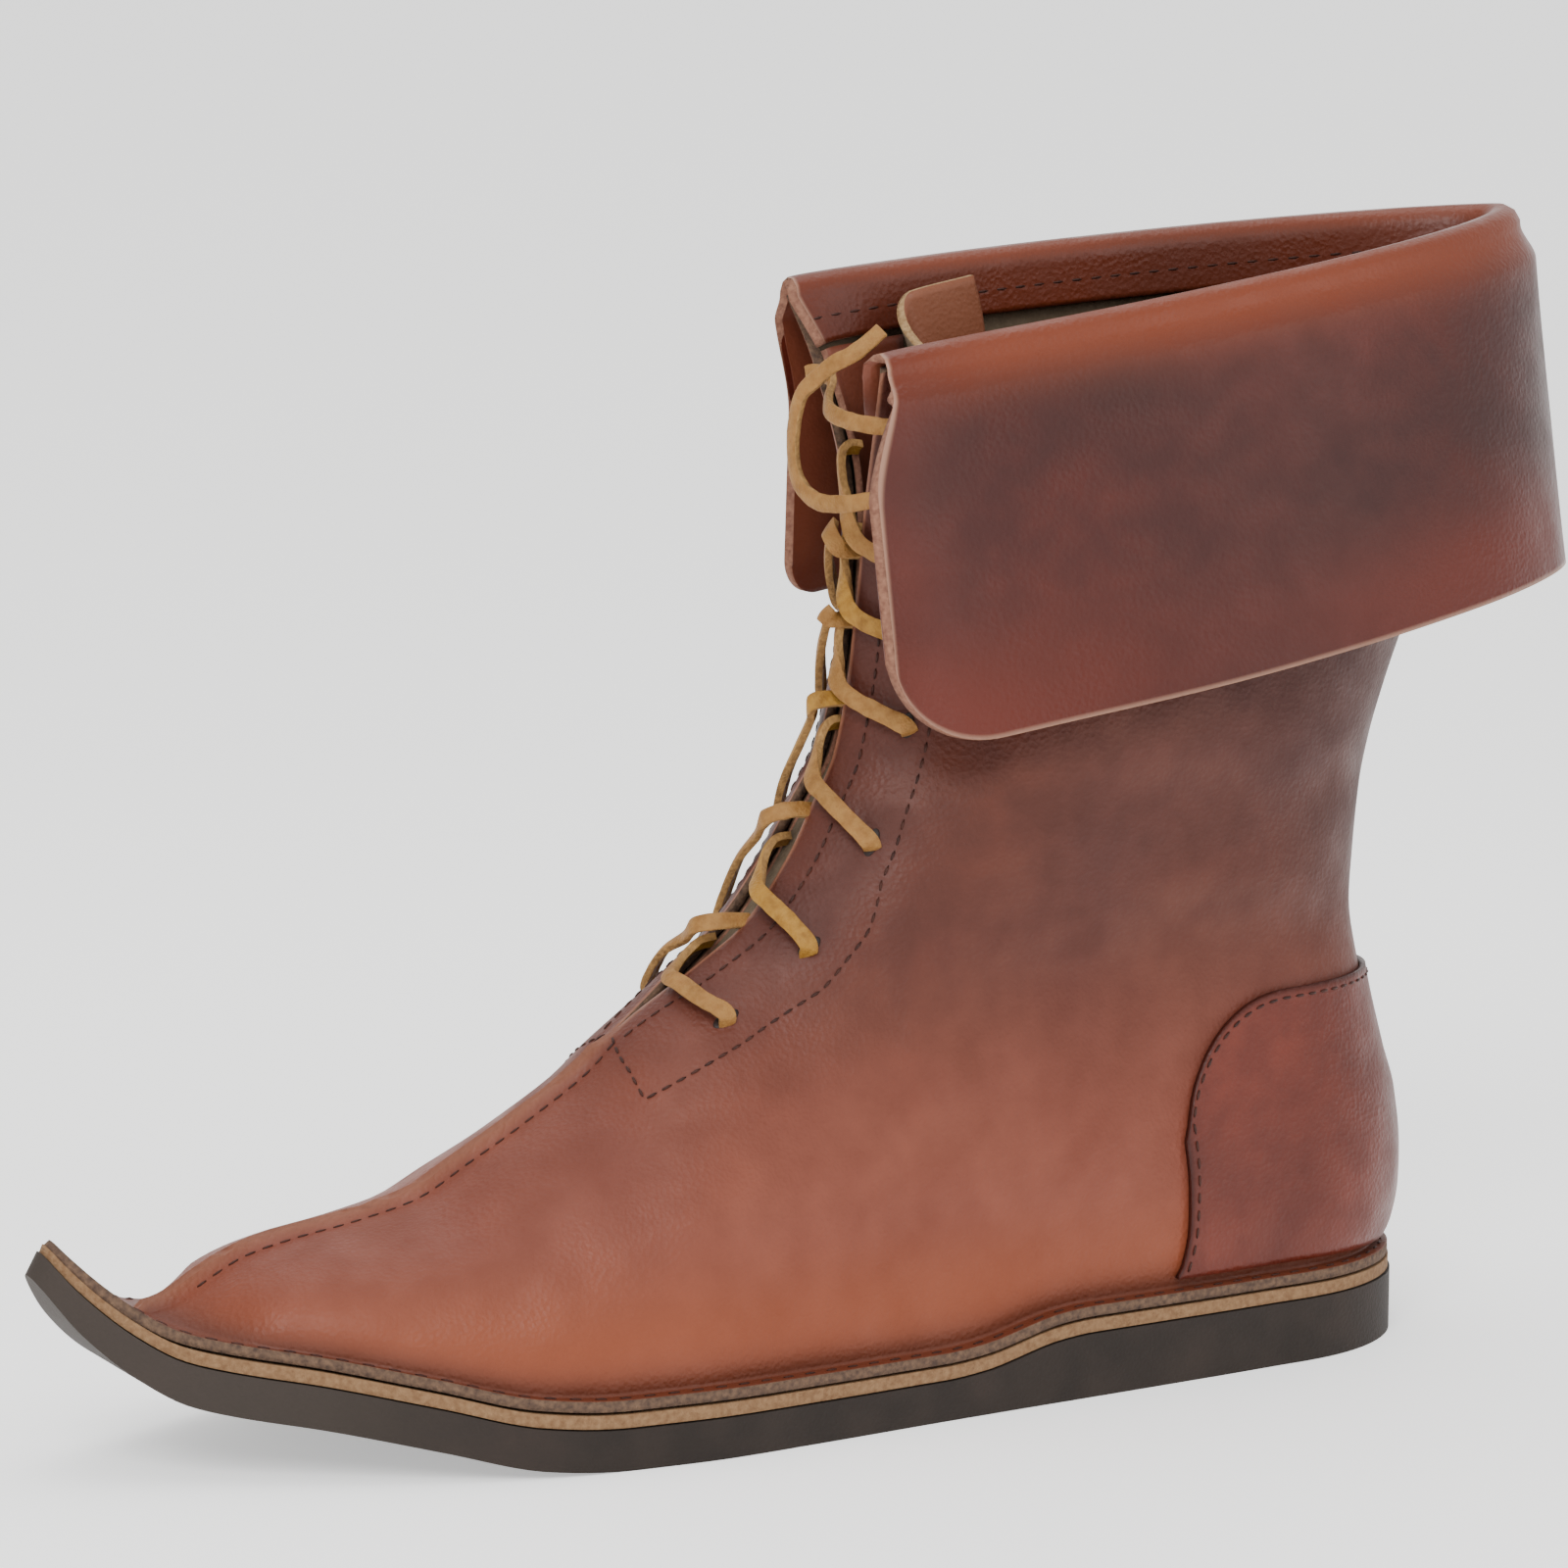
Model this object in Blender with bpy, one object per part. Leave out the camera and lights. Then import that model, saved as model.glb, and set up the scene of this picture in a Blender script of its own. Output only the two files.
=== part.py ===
"""Laced leather knight boot with a turned-down cuff and a pointed, turned-up toe: a left boot.

Metres, +Z up. The toe points to -X, the outer (lateral) side faces -Y and the inner (medial) side +Y.
The origin lies on the floor under the middle of the heel. Every leather piece is lofted from one last
function: level rings that run from the heel's back centre line round both sides to the front line.
"""
import math
from collections import namedtuple

import bmesh
import bpy
from mathutils import Vector

# Driving dimensions of the last
SOLE_LENGTH = 0.313
BALL_WIDTH = 0.0946
HEEL_WIDTH = 0.076
HEEL_BACK = 0.033
HEEL_ROUND_LENGTH = 0.044
SHAFT_RISE = 0.2135
BACK_RISE = 0.0145
CUFF_TILT = 0.0145
ANKLE_WIDTH = 0.064
TOP_WIDTH = 0.056

# Sole stack
OUTSOLE_THICKNESS = 0.0083
HEEL_LIFT = 0.0052
MIDSOLE_THICKNESS = 0.0030
INSOLE_THICKNESS = 0.0022
INSOLE_END = 0.90
TOE_SPRING = 0.0400
OUTSOLE_BEVEL = 0.0012
OUTSOLE_TIP_BACK = 0.0025
MIDSOLE_TIP_BACK = 0.0032
FLANGE_TIP_BACK = 0.0044

# Leather
WALL = 0.0022
FLANGE_THICKNESS = 0.0020
FLANGE_WIDTH = 0.0045
SEAM_HALF_WIDTH = 0.0021
SEAM_HEIGHT = 0.0018
FACING_THICKNESS = 0.0014
FACING_WIDTH = 0.025
TONGUE_THICKNESS = 0.0018
TONGUE_HALF_WIDTH = 0.036
COUNTER_THICKNESS = 0.0011
CUFF_THICKNESS = 0.0020
CUFF_HEM = 0.0100
CUFF_DROP_LATERAL = 0.0775
CUFF_DROP_MEDIAL = 0.065
CUFF_DROP_BACK = 0.0745
CUFF_CORNER_LATERAL = 0.022
CUFF_CORNER_MEDIAL = 0.010
CLEARANCE = 0.0003
LINING_CLEARANCE = 0.0007
FLANGE_CLEARANCE = 0.0008
THROAT_OPENING = 0.0400

# How finely the forms are divided
SIDE_COLUMNS = 24
SOLE_COLUMNS = 40
LATERAL, MEDIAL = -1, 1

HEEL_HALF = HEEL_WIDTH / 2
BALL_HALF = BALL_WIDTH / 2

# Sole outline. reach: share of the sole's length from heel back to toe tip. centre: sideways shift as a share
# of half the ball width. heel and ball: how much of each half width the half outline takes.
Outline = namedtuple("Outline", "reach centre heel ball")
OUTLINE = (
    Outline(0.000, 0.000, 1.00, 0.000),
    Outline(0.117, 0.000, 1.00, 0.000),
    Outline(0.211, -0.030, 0.68, 0.271),
    Outline(0.306, -0.070, 0.40, 0.501),
    Outline(0.400, -0.085, 0.20, 0.690),
    Outline(0.486, -0.078, 0.07, 0.850),
    Outline(0.558, -0.062, 0.00, 0.962),
    Outline(0.622, -0.036, 0.00, 1.000),
    Outline(0.694, -0.004, 0.00, 0.998),
    Outline(0.748, 0.021, 0.00, 0.938),
    Outline(0.811, 0.053, 0.00, 0.790),
    Outline(0.874, 0.078, 0.00, 0.590),
    Outline(0.921, 0.098, 0.00, 0.422),
    Outline(0.962, 0.118, 0.00, 0.272),
    Outline(0.987, 0.132, 0.00, 0.165),
    Outline(1.000, 0.140, 0.00, 0.125),
)

# The sole's run along its length. spring: share of the toe spring. wedge: share of the heel lift.
Run = namedtuple("Run", "reach spring wedge")
RUN = (
    Run(0.000, 0.000, 1.00),
    Run(0.310, 0.000, 1.00),
    Run(0.335, 0.000, 0.90),
    Run(0.400, 0.000, 0.12),
    Run(0.430, 0.000, 0.00),
    Run(0.660, 0.000, 0.00),
    Run(0.720, 0.037, 0.00),
    Run(0.780, 0.152, 0.00),
    Run(0.845, 0.268, 0.00),
    Run(0.895, 0.336, 0.00),
    Run(0.920, 0.386, 0.00),
    Run(0.946, 0.507, 0.00),
    Run(0.977, 0.735, 0.00),
    Run(1.000, 1.000, 0.00),
)

# Where the front seam ends and the laced opening starts, as a share of the shaft's rise
THROAT_HEIGHT = 0.303

# The front line, seen from the side. height: share of the shaft's rise. reach: as in the outline.
# opening: half the gap between the laced edges, as a share of half the throat opening at the top.
Front = namedtuple("Front", "height reach opening")
FRONT = (
    Front(0.000, 0.9291, 0.00),
    Front(0.018, 0.9099, 0.00),
    Front(0.045, 0.8886, 0.00),
    Front(0.072, 0.8633, 0.00),
    Front(0.093, 0.8309, 0.00),
    Front(0.117, 0.7893, 0.00),
    Front(0.147, 0.7478, 0.00),
    Front(0.185, 0.7124, 0.00),
    Front(0.226, 0.6708, 0.00),
    Front(0.270, 0.6263, 0.00),
    Front(THROAT_HEIGHT, 0.6026, 0.00),
    Front(0.368, 0.5432, 0.18),
    Front(0.402, 0.5135, 0.25),
    Front(0.465, 0.4792, 0.25),
    Front(0.501, 0.4648, 0.22),
    Front(0.570, 0.4399, 0.15),
    Front(0.678, 0.4258, 0.10),
    Front(0.807, 0.4207, 0.18),
    Front(0.931, 0.4278, 0.62),
    Front(1.000, 0.4359, 1.00),
)
FLAP_NORMAL_BACK = 0.20

# The back line and the girth. reach: as in the outline, negative behind the heel. girth: the foot's half
# width against the sole's. shaft: half width against half the ankle width. top: how much of it is top width.
Back = namedtuple("Back", "height reach girth shaft top")
BACK = (
    Back(0.000, 0.0130, 1.000, 1.00, 0.0),
    Back(0.024, 0.0030, 1.020, 1.00, 0.0),
    Back(0.060, -0.0020, 1.030, 1.00, 0.0),
    Back(0.098, -0.0030, 1.020, 1.00, 0.0),
    Back(0.151, 0.0000, 0.990, 1.00, 0.0),
    Back(0.198, 0.0095, 0.950, 1.00, 0.0),
    Back(0.273, 0.0225, 0.890, 1.00, 0.0),
    Back(0.349, 0.0290, 0.850, 1.00, 0.0),
    Back(0.397, 0.0265, 0.840, 1.00, 0.0),
    Back(0.463, 0.0215, 0.840, 1.00, 0.0),
    Back(0.509, 0.0138, 0.840, 1.02, 0.0),
    Back(0.556, 0.0016, 0.840, 1.03, 0.1),
    Back(0.650, -0.0259, 0.840, 1.01, 0.3),
    Back(0.850, -0.0735, 0.840, 0.98, 0.8),
    Back(1.000, -0.1049, 0.840, 0.97, 1.0),
)

# Height of the ridge over each reach, for the arch of the vamp's cross sections, carried on smoothly past
# the ankle, where the two side walls no longer meet.
Ridge = namedtuple("Ridge", "reach height")
RIDGE_BEHIND_THE_ANKLE = (Ridge(0.438, 0.60), Ridge(0.392, 0.86), Ridge(0.29, 1.5), Ridge(0.0, 3.0))

# Level rings of the upper, as shares of the shaft's rise
LEVELS = (0.0, 0.012, 0.035, 0.065, 0.097, 0.130, 0.170, 0.212, 0.258, THROAT_HEIGHT, 0.345, 0.390, 0.440,
          0.500, 0.575, 0.665, 0.765, 0.865, 0.940, 1.0)


def track(rows, key, value):
    """A smooth curve through two columns of a table, without overshoot between the rows."""
    pairs = sorted((getattr(row, key), getattr(row, value)) for row in rows)
    xs = [p[0] for p in pairs]
    ys = [p[1] for p in pairs]
    steps = [(ys[i + 1] - ys[i]) / (xs[i + 1] - xs[i]) for i in range(len(xs) - 1)]
    slopes = [steps[0]]
    for before, after in zip(steps, steps[1:]):
        slopes.append(0.0 if before * after <= 0 else 2 * before * after / (before + after))
    slopes.append(steps[-1])

    def at(x):
        x = min(max(x, xs[0]), xs[-1])
        i = 0
        while i < len(xs) - 2 and x > xs[i + 1]:
            i += 1
        width = xs[i + 1] - xs[i]
        t = (x - xs[i]) / width
        return (ys[i] * (1 + 2 * t) * (1 - t) ** 2 + ys[i + 1] * t * t * (3 - 2 * t)
                + width * (slopes[i] * t * (1 - t) ** 2 + slopes[i + 1] * t * t * (t - 1)))
    return at


outline_centre = track(OUTLINE, "reach", "centre")
outline_heel = track(OUTLINE, "reach", "heel")
outline_ball = track(OUTLINE, "reach", "ball")
run_spring = track(RUN, "reach", "spring")
run_wedge = track(RUN, "reach", "wedge")
front_reach = track(FRONT, "height", "reach")
front_opening = track(FRONT, "height", "opening")
back_reach = track(BACK, "height", "reach")
back_girth = track(BACK, "height", "girth")
shaft_width = track(BACK, "height", "shaft")
shaft_top = track(BACK, "height", "top")
ridge_height = track([Ridge(row.reach, row.height) for row in FRONT if row.height < 0.6]
                     + list(RIDGE_BEHIND_THE_ANKLE), "reach", "height")

HEEL_ROUND = HEEL_ROUND_LENGTH / SOLE_LENGTH
TOE_ROUND = 0.018


def ease(low, high, x):
    """0 below low, 1 above high, smooth between."""
    t = min(max((x - low) / (high - low), 0.0), 1.0)
    return t * t * (3 - 2 * t)


def mix(a, b, share):
    return a + (b - a) * share


def quarter(t):
    """The rise of a quarter circle, from 0 at t = 0 to 1 at t = 1."""
    t = min(max(t, 0.0), 1.0)
    return math.sqrt(1 - (1 - t) ** 2)


def place(reach):
    """X of a reach, which is 0 at the heel's back and 1 at the toe tip."""
    return HEEL_BACK - reach * SOLE_LENGTH


def reach_of(x):
    return (HEEL_BACK - x) / SOLE_LENGTH


def sole_half(reach, inset=0.0):
    """Half the sole's outline at a reach, without its rounded ends."""
    return outline_heel(reach) * HEEL_HALF + outline_ball(reach) * BALL_HALF - inset


def sole_edge(angle, side, inset=0.0, tip_back=0.0):
    """A point of the sole's outline: angle 0 is the heel's back, pi the toe tip."""
    s = (1 - math.cos(angle)) / 2
    own = min(max(s, 0.0), 1.0)
    ends = quarter(own / HEEL_ROUND) * quarter((1 - own) / TOE_ROUND)
    half = max(sole_half(own, inset), 0.0004) * ends
    start = inset / SOLE_LENGTH
    finish = 1 - (inset + tip_back) / SOLE_LENGTH
    reach = mix(start, finish, s)
    return place(reach), outline_centre(own) * BALL_HALF + side * half


def sole_floor(x):
    """Height of the outsole's bottom."""
    return TOE_SPRING * run_spring(reach_of(x))


def outsole_top(x):
    return sole_floor(x) + OUTSOLE_THICKNESS + HEEL_LIFT * run_wedge(reach_of(x))


def midsole_top(x):
    return outsole_top(x) + MIDSOLE_THICKNESS


def upper_base(x):
    """Height of the upper's out-turned flange, which lies on the midsole."""
    return midsole_top(x) + FLANGE_CLEARANCE


def top_edge(x, side):
    """Height of the shaft's top edge, higher at the back, and lower in front on the lateral side."""
    front = place(FRONT[-1].reach)
    back = place(BACK[-1].reach)
    share = min(max((x - front) / (back - front), 0.0), 1.0)
    level = upper_base(place(0.6)) + FLANGE_THICKNESS + SHAFT_RISE + BACK_RISE * share ** 0.8
    if side == LATERAL:
        level -= CUFF_TILT * (1 - share ** 1.3)
    return level


def last_point(height, angle, side):
    """A point of the upper's outer surface. height: 0 at the crease, 1 at the top edge. angle: 0 at the
    back line, pi at the front line."""
    s = (1 - math.cos(angle)) / 2
    reach = mix(back_reach(height), front_reach(height), s)
    x = place(reach)
    opening = front_opening(height) * THROAT_OPENING / 2

    crease = FLANGE_WIDTH
    crease_back = BACK[0].reach
    own = crease_back + (reach - back_reach(height) * (1 - s) - crease_back * s)
    own = min(max(own, 0.0), 1.0)
    foot_half = sole_half(own, crease) * back_girth(height)
    foot_half *= quarter((own - crease_back) / (HEEL_ROUND - crease_back))
    arch = min(height / max(ridge_height(reach), 1e-6), 1.0)
    tip = quarter((1 - s) / 0.06)
    foot_y = max(foot_half, 0.0005) * min((1 - arch ** 2.1) ** 0.52, tip)
    foot_centre = outline_centre(own) * BALL_HALF * (1 - ease(0.15, 0.6, height))

    widest = 0.46
    half = shaft_width(height) * mix(ANKLE_WIDTH, TOP_WIDTH, shaft_top(height)) / 2
    if s < widest:
        shaft_y = half * (1 - (1 - s / widest) ** 2.3) ** 0.55
    else:
        shaft_y = half * max(1 - ((s - widest) / (1 - widest)) ** 2.6, 0.0) ** 0.62
    blend = ease(0.30, 0.56, height)
    y = mix(foot_y, shaft_y, blend)
    if s > widest:
        y += opening * ((s - widest) / (1 - widest)) ** 2 * (1 - y / half)
    low = upper_base(x) + FLANGE_THICKNESS
    level = top_edge(max(x, place(FRONT[-1].reach)), MEDIAL)
    drop = (level - top_edge(max(x, place(FRONT[-1].reach)), side)) * ease(0.45, 1.0, height)
    return Vector((x, foot_centre + side * y, mix(low, level, height) - drop))


def last_normal(height, angle, side):
    """The outward normal of the upper's surface. A laced edge has the normal of the leather beside it."""
    step = 0.004
    angle = min(angle, math.pi - FLAP_NORMAL_BACK * ease(THROAT_HEIGHT, THROAT_HEIGHT + 0.05, height))
    up = last_point(min(height + step, 1.0), angle, side) - last_point(max(height - step, 0.0), angle, side)
    round_ = (last_point(height, min(angle + 0.02, math.pi), side)
              - last_point(height, max(angle - 0.02, 0.0), side))
    normal = up.cross(round_) * -side
    if angle <= 0.0 or (angle >= math.pi and height < THROAT_HEIGHT):
        normal.y = 0.0
    return normal.normalized()


def angle_at(height, side, gap):
    """The angle at which the ring lies a given distance from the front edge, measured across the throat."""
    edge = last_point(height, math.pi, side)
    low, high = math.pi / 2, math.pi
    for _ in range(24):
        middle = (low + high) / 2
        if (last_point(height, middle, side) - edge).length > gap:
            low = middle
        else:
            high = middle
    return (low + high) / 2


def skin(height, angle, side, out):
    """A point of the last moved outwards by a distance, or inwards where the distance is negative."""
    normal = last_normal(height, angle, side)
    normal.z *= 1 - ease(0.60, 0.90, height)
    normal.normalize()
    surface = last_point(height, angle, side)
    moved = surface + normal * out
    if out < 0 and angle > math.pi / 2:
        front = last_point(height, math.pi, side)
        least = max(moved.x - front.x, 0.0) * 0.12
        if height <= THROAT_HEIGHT and side * (moved.y - front.y) < least:
            moved.y = front.y + side * least
    return moved


def collect(name, vertices, faces, material):
    """Makes an object from a list of points and faces, with its faces turned outwards."""
    mesh = bpy.data.meshes.new(name)
    mesh.from_pydata([tuple(v) for v in vertices], [], faces)
    shape = bmesh.new()
    shape.from_mesh(mesh)
    bmesh.ops.remove_doubles(shape, verts=shape.verts, dist=1e-6)
    bmesh.ops.dissolve_degenerate(shape, dist=1e-6, edges=shape.edges)
    bmesh.ops.recalc_face_normals(shape, faces=shape.faces)
    shape.to_mesh(mesh)
    shape.free()
    mesh.materials.append(material)
    piece = bpy.data.objects.new(name, mesh)
    bpy.context.collection.objects.link(piece)
    return piece


def leather(name, colour, roughness):
    material = bpy.data.materials.new(name)
    material.use_nodes = True
    shader = material.node_tree.nodes["Principled BSDF"]
    shader.inputs["Base Color"].default_value = (*colour, 1.0)
    shader.inputs["Roughness"].default_value = roughness
    shader.inputs["Metallic"].default_value = 0.0
    return material


def slab(name, rings, material):
    """A closed plate from stacked loops. Each loop runs from the heel down the lateral side to the toe and
    back up the medial side, and the two ends are closed straight across."""
    count = len(rings[0])
    vertices = [point for ring in rings for point in ring]
    faces = []
    for level in range(len(rings) - 1):
        for i in range(count):
            j = (i + 1) % count
            faces.append((level * count + i, level * count + j, (level + 1) * count + j, (level + 1) * count + i))
    for start in (0, (len(rings) - 1) * count):
        for i in range(count // 2):
            far, near = (count - i) % count, count - i - 1
            cap = [start + i, start + i + 1, start + near, start + far]
            faces.append(tuple(dict.fromkeys(cap)))
    return collect(name, vertices, faces, material)


def sheet(name, outer, inner, material, joined_rows=0):
    """A closed wall between two grids of points, with rims all round. In the first joined_rows rows the two
    ends of each row are the same point, so that the wall closes on itself there."""
    rows, columns = len(outer), len(outer[0])
    vertices = [point for grid in (outer, inner) for row in grid for point in row]
    inside = rows * columns

    def at(row, column, offset):
        if column == columns - 1 and row < joined_rows:
            column = 0
        return offset + row * columns + column

    faces = []
    for row in range(rows - 1):
        for column in range(columns - 1):
            for offset in (0, inside):
                faces.append((at(row, column, offset), at(row, column + 1, offset),
                              at(row + 1, column + 1, offset), at(row + 1, column, offset)))
    for column in range(columns - 1):
        for row in (0, rows - 1):
            faces.append((at(row, column, 0), at(row, column + 1, 0),
                          at(row, column + 1, inside), at(row, column, inside)))
    for row in range(max(joined_rows - 1, 0), rows - 1):
        for column in (0, columns - 1):
            faces.append((at(row, column, 0), at(row + 1, column, 0),
                          at(row + 1, column, inside), at(row, column, inside)))
    return collect(name, vertices, faces, material)


def loop(point_at, steps=SIDE_COLUMNS):
    """A closed loop of points: heel, lateral side, toe, medial side."""
    angles = [math.pi * i / steps for i in range(steps + 1)]
    return ([point_at(angle, LATERAL) for angle in angles]
            + [point_at(angle, MEDIAL) for angle in reversed(angles[1:-1])])


def sole_ring(inset, level, tip_back=0.0):
    def point(angle, side):
        x, y = sole_edge(angle, side, inset, tip_back)
        return Vector((x, y, level(x)))
    return loop(point, SOLE_COLUMNS)


def outsole(material):
    rings = [
        sole_ring(OUTSOLE_BEVEL, sole_floor),
        sole_ring(0.0, lambda x: sole_floor(x) + OUTSOLE_BEVEL),
        sole_ring(0.0, outsole_top, OUTSOLE_TIP_BACK),
    ]
    return slab("outsole", rings, material)


def midsole(material):
    rings = [
        sole_ring(0.0004, lambda x: outsole_top(x) + CLEARANCE, OUTSOLE_TIP_BACK),
        sole_ring(0.0004, midsole_top, MIDSOLE_TIP_BACK),
    ]
    return slab("midsole", rings, material)


def insole(material):
    """A plate inside the crease, which ends where the toe grows too narrow for it."""
    def edge(angle, side):
        return skin(0.0, angle * INSOLE_END, side, -(WALL + 3 * CLEARANCE))

    def ring(level):
        def point(angle, side):
            spot = edge(angle, side)
            if angle >= math.pi:
                spot = (edge(angle, LATERAL) + edge(angle, MEDIAL)) / 2
            return Vector((spot.x, spot.y, upper_base(spot.x) + level))
        return loop(point)
    return slab("insole", [ring(0.0), ring(INSOLE_THICKNESS)], material)


def front_columns():
    """Angles of the upper's columns, with three close to the front line for the raised seam."""
    angles = [math.pi * i / SIDE_COLUMNS for i in range(SIDE_COLUMNS)]
    return angles[:-1] + [angles[-1] * 0.5 + angles[-2] * 0.5]


def seam_lift(height):
    return SEAM_HEIGHT * (1 - ease(THROAT_HEIGHT - 0.02, THROAT_HEIGHT, height))


def upper_row(height, thickness=0.0):
    """One level ring from the lateral front edge round the back to the medial front edge."""
    sides = {}
    for side in (LATERAL, MEDIAL):
        row = []
        for angle in front_columns():
            row.append(skin(height, angle, side, -thickness))
        for gap, lift in ((SEAM_HALF_WIDTH + 0.0006, 0.0), (SEAM_HALF_WIDTH, 1.0), (0.0, 1.0)):
            angle = angle_at(height, side, gap) if gap else math.pi
            rise = lift * seam_lift(height) if not thickness else 0.0
            row.append(skin(height, angle, side, rise - thickness))
        sides[side] = row
    return list(reversed(sides[LATERAL])) + sides[MEDIAL][1:]


def flange_row(level):
    """The flange's outer edge below each column of the crease."""
    row = []
    angles = list(front_columns())
    angles += [mix(angles[-1], math.pi, share) for share in (0.4, 0.75, 1.0)]
    for side, order in ((LATERAL, list(reversed(angles))), (MEDIAL, angles[1:])):
        for angle in order:
            x, y = sole_edge(angle, side, 0.0006, FLANGE_TIP_BACK)
            row.append(Vector((x, y, upper_base(x) + level)))
    return row


def upper(material):
    levels = sorted(LEVELS)
    outer = [flange_row(FLANGE_THICKNESS)] + [upper_row(height) for height in levels]
    bottom = [Vector((point.x, point.y, upper_base(point.x))) for point in upper_row(0.0, WALL)]
    inner = [flange_row(0.0), bottom] + [upper_row(height, WALL) for height in levels[1:]]
    joined = 2 + levels.index(THROAT_HEIGHT)
    return sheet("upper", outer, inner, material, joined)


# The counter's outline: reach is its front edge, height its top edge, as shares like those of the last
COUNTER_FRONT_REACH = 0.229
COUNTER_TOP_HEIGHT = 0.279
COUNTER_CORNER = 0.40
COUNTER_FALL = 0.48
COUNTER_FOOT_HEIGHT = 0.012


COUNTER_ROWS = 13
COUNTER_ROUND_COLUMNS = 7
COUNTER_SIDE_COLUMNS = 5


def counter_angle(step, height):
    """Round the heel the counter has the upper's own columns, and from there they spread to its front edge."""
    corner = math.pi / SIDE_COLUMNS * COUNTER_ROUND_COLUMNS
    if step <= COUNTER_ROUND_COLUMNS:
        return corner * step / COUNTER_ROUND_COLUMNS
    share = COUNTER_FRONT_REACH / (front_reach(height) - back_reach(height))
    front = math.acos(1 - 2 * share)
    return mix(corner, front, (step - COUNTER_ROUND_COLUMNS) / COUNTER_SIDE_COLUMNS)


def counter(material):
    last = COUNTER_ROUND_COLUMNS + COUNTER_SIDE_COLUMNS
    grids = []
    for out in (CLEARANCE + COUNTER_THICKNESS, CLEARANCE):
        grid = []
        for i in range(COUNTER_ROWS):
            row = []
            for step in range(-last, last + 1):
                side = LATERAL if step < 0 else MEDIAL
                along = abs(step) / last
                corner = max(along - (1 - COUNTER_CORNER), 0.0) / COUNTER_CORNER
                top = COUNTER_TOP_HEIGHT * (1 - COUNTER_FALL * corner ** 2.4)
                height = mix(COUNTER_FOOT_HEIGHT, top, i / (COUNTER_ROWS - 1))
                row.append(skin(height, counter_angle(abs(step), height), side, out))
            grid.append(row)
        grids.append(grid)
    return sheet("counter", grids[0], grids[1], material)


FACING_BOTTOM = 0.335
FACING_TOP = 0.945
FACING_ROWS = 12


def facing(side, name, material):
    distances = [0.0006, 0.006, 0.012, 0.018, FACING_WIDTH]
    levels = [mix(FACING_BOTTOM, FACING_TOP, i / FACING_ROWS) for i in range(FACING_ROWS + 1)]
    grids = []
    for depth in (WALL + LINING_CLEARANCE, WALL + LINING_CLEARANCE + FACING_THICKNESS):
        grid = []
        for height in levels:
            narrow = mix(0.55, 1.0, ease(FACING_BOTTOM, FACING_BOTTOM + 0.12, height))
            grid.append([skin(height, angle_at(height, side, gap * narrow), side, -depth) for gap in distances])
        grids.append(grid)
    return sheet(name, grids[0], grids[1], material)


TONGUE_BOTTOM = 0.255
TONGUE_TOP = 1.0
TONGUE_LEAN = 0.020
TONGUE_TOP_ROOM = 0.0028
TONGUE_BRIDGE = 0.006
TONGUE_COLUMNS = 5
TONGUE_ROWS = 15


def tongue_row(height, depth):
    """Points across the tongue: along the inside of both facings and bridged between the laced edges. At
    the top its medial side comes away from the wall and leans back into the shaft."""
    def wall(side, gap):
        return skin(height, angle_at(height, side, gap), side, -depth)
    reaches = [mix(TONGUE_BRIDGE, TONGUE_HALF_WIDTH, i / TONGUE_COLUMNS) for i in range(TONGUE_COLUMNS + 1)]
    lateral = [wall(LATERAL, gap) for gap in reversed(reaches)]
    medial = [wall(MEDIAL, gap) for gap in reaches]
    start, finish = lateral[-1], medial[0]
    pull = (finish - start).length
    leave = (start - lateral[-2]).normalized() * pull * 0.8
    arrive = (medial[1] - finish).normalized() * pull * 0.8
    bridge = []
    for i in range(1, TONGUE_COLUMNS):
        t = i / TONGUE_COLUMNS
        bridge.append(start * (1 + 2 * t) * (1 - t) ** 2 + finish * t * t * (3 - 2 * t)
                      + leave * t * (1 - t) ** 2 + arrive * t * t * (t - 1))
    row = lateral + bridge + medial
    away = ease(0.66, 1.0, height)
    middle = row[len(lateral) + len(bridge) // 2]
    turned = []
    for i, point in enumerate(row):
        across = i / (len(row) - 1)
        lean = TONGUE_LEAN * away * ease(0.0, 0.45, across)
        fold = away * ease(0.30, 0.75, across)
        y = mix(point.y, middle.y + (point.y - middle.y) * 0.22 + 0.004, fold)
        x = point.x + lean + 0.004 * away * ease(0.7, 1.0, across)
        turned.append(Vector((mix(x, middle.x + lean + (x - middle.x - lean) * 0.45, fold), y, point.z)))
    return turned


def tongue(material):
    gap = WALL + FACING_THICKNESS + 2 * LINING_CLEARANCE
    levels = [mix(TONGUE_BOTTOM, TONGUE_TOP, i / TONGUE_ROWS) for i in range(TONGUE_ROWS + 1)]
    outer = [tongue_row(height, gap + TONGUE_TOP_ROOM * ease(0.84, 0.94, height)) for height in levels]
    inner = []
    for i, row in enumerate(outer):
        above, below = outer[min(i + 1, TONGUE_ROWS)], outer[max(i - 1, 0)]
        line = []
        for j, point in enumerate(row):
            across = row[min(j + 1, len(row) - 1)] - row[max(j - 1, 0)]
            normal = across.cross(above[j] - below[j]).normalized()
            line.append(point + normal * TONGUE_THICKNESS)
        inner.append(line)
    return sheet("tongue", outer, inner, material)


CUFF_CLEARANCE = 0.0009
CUFF_ROLL = 0.0030
CUFF_FLARE_SIDE = 0.0105
CUFF_FLARE_BACK = 0.0095
CUFF_LEAN_LATERAL = -0.0062
CUFF_LEAN_MEDIAL = 0.0045
CUFF_LEAN_LENGTH = 0.022
CUFF_FOLD_STEPS = 5
CUFF_HANG_STEPS = 7
CUFF_FRONT_COLUMNS = (0.0012, 0.0040, 0.0090)


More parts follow.
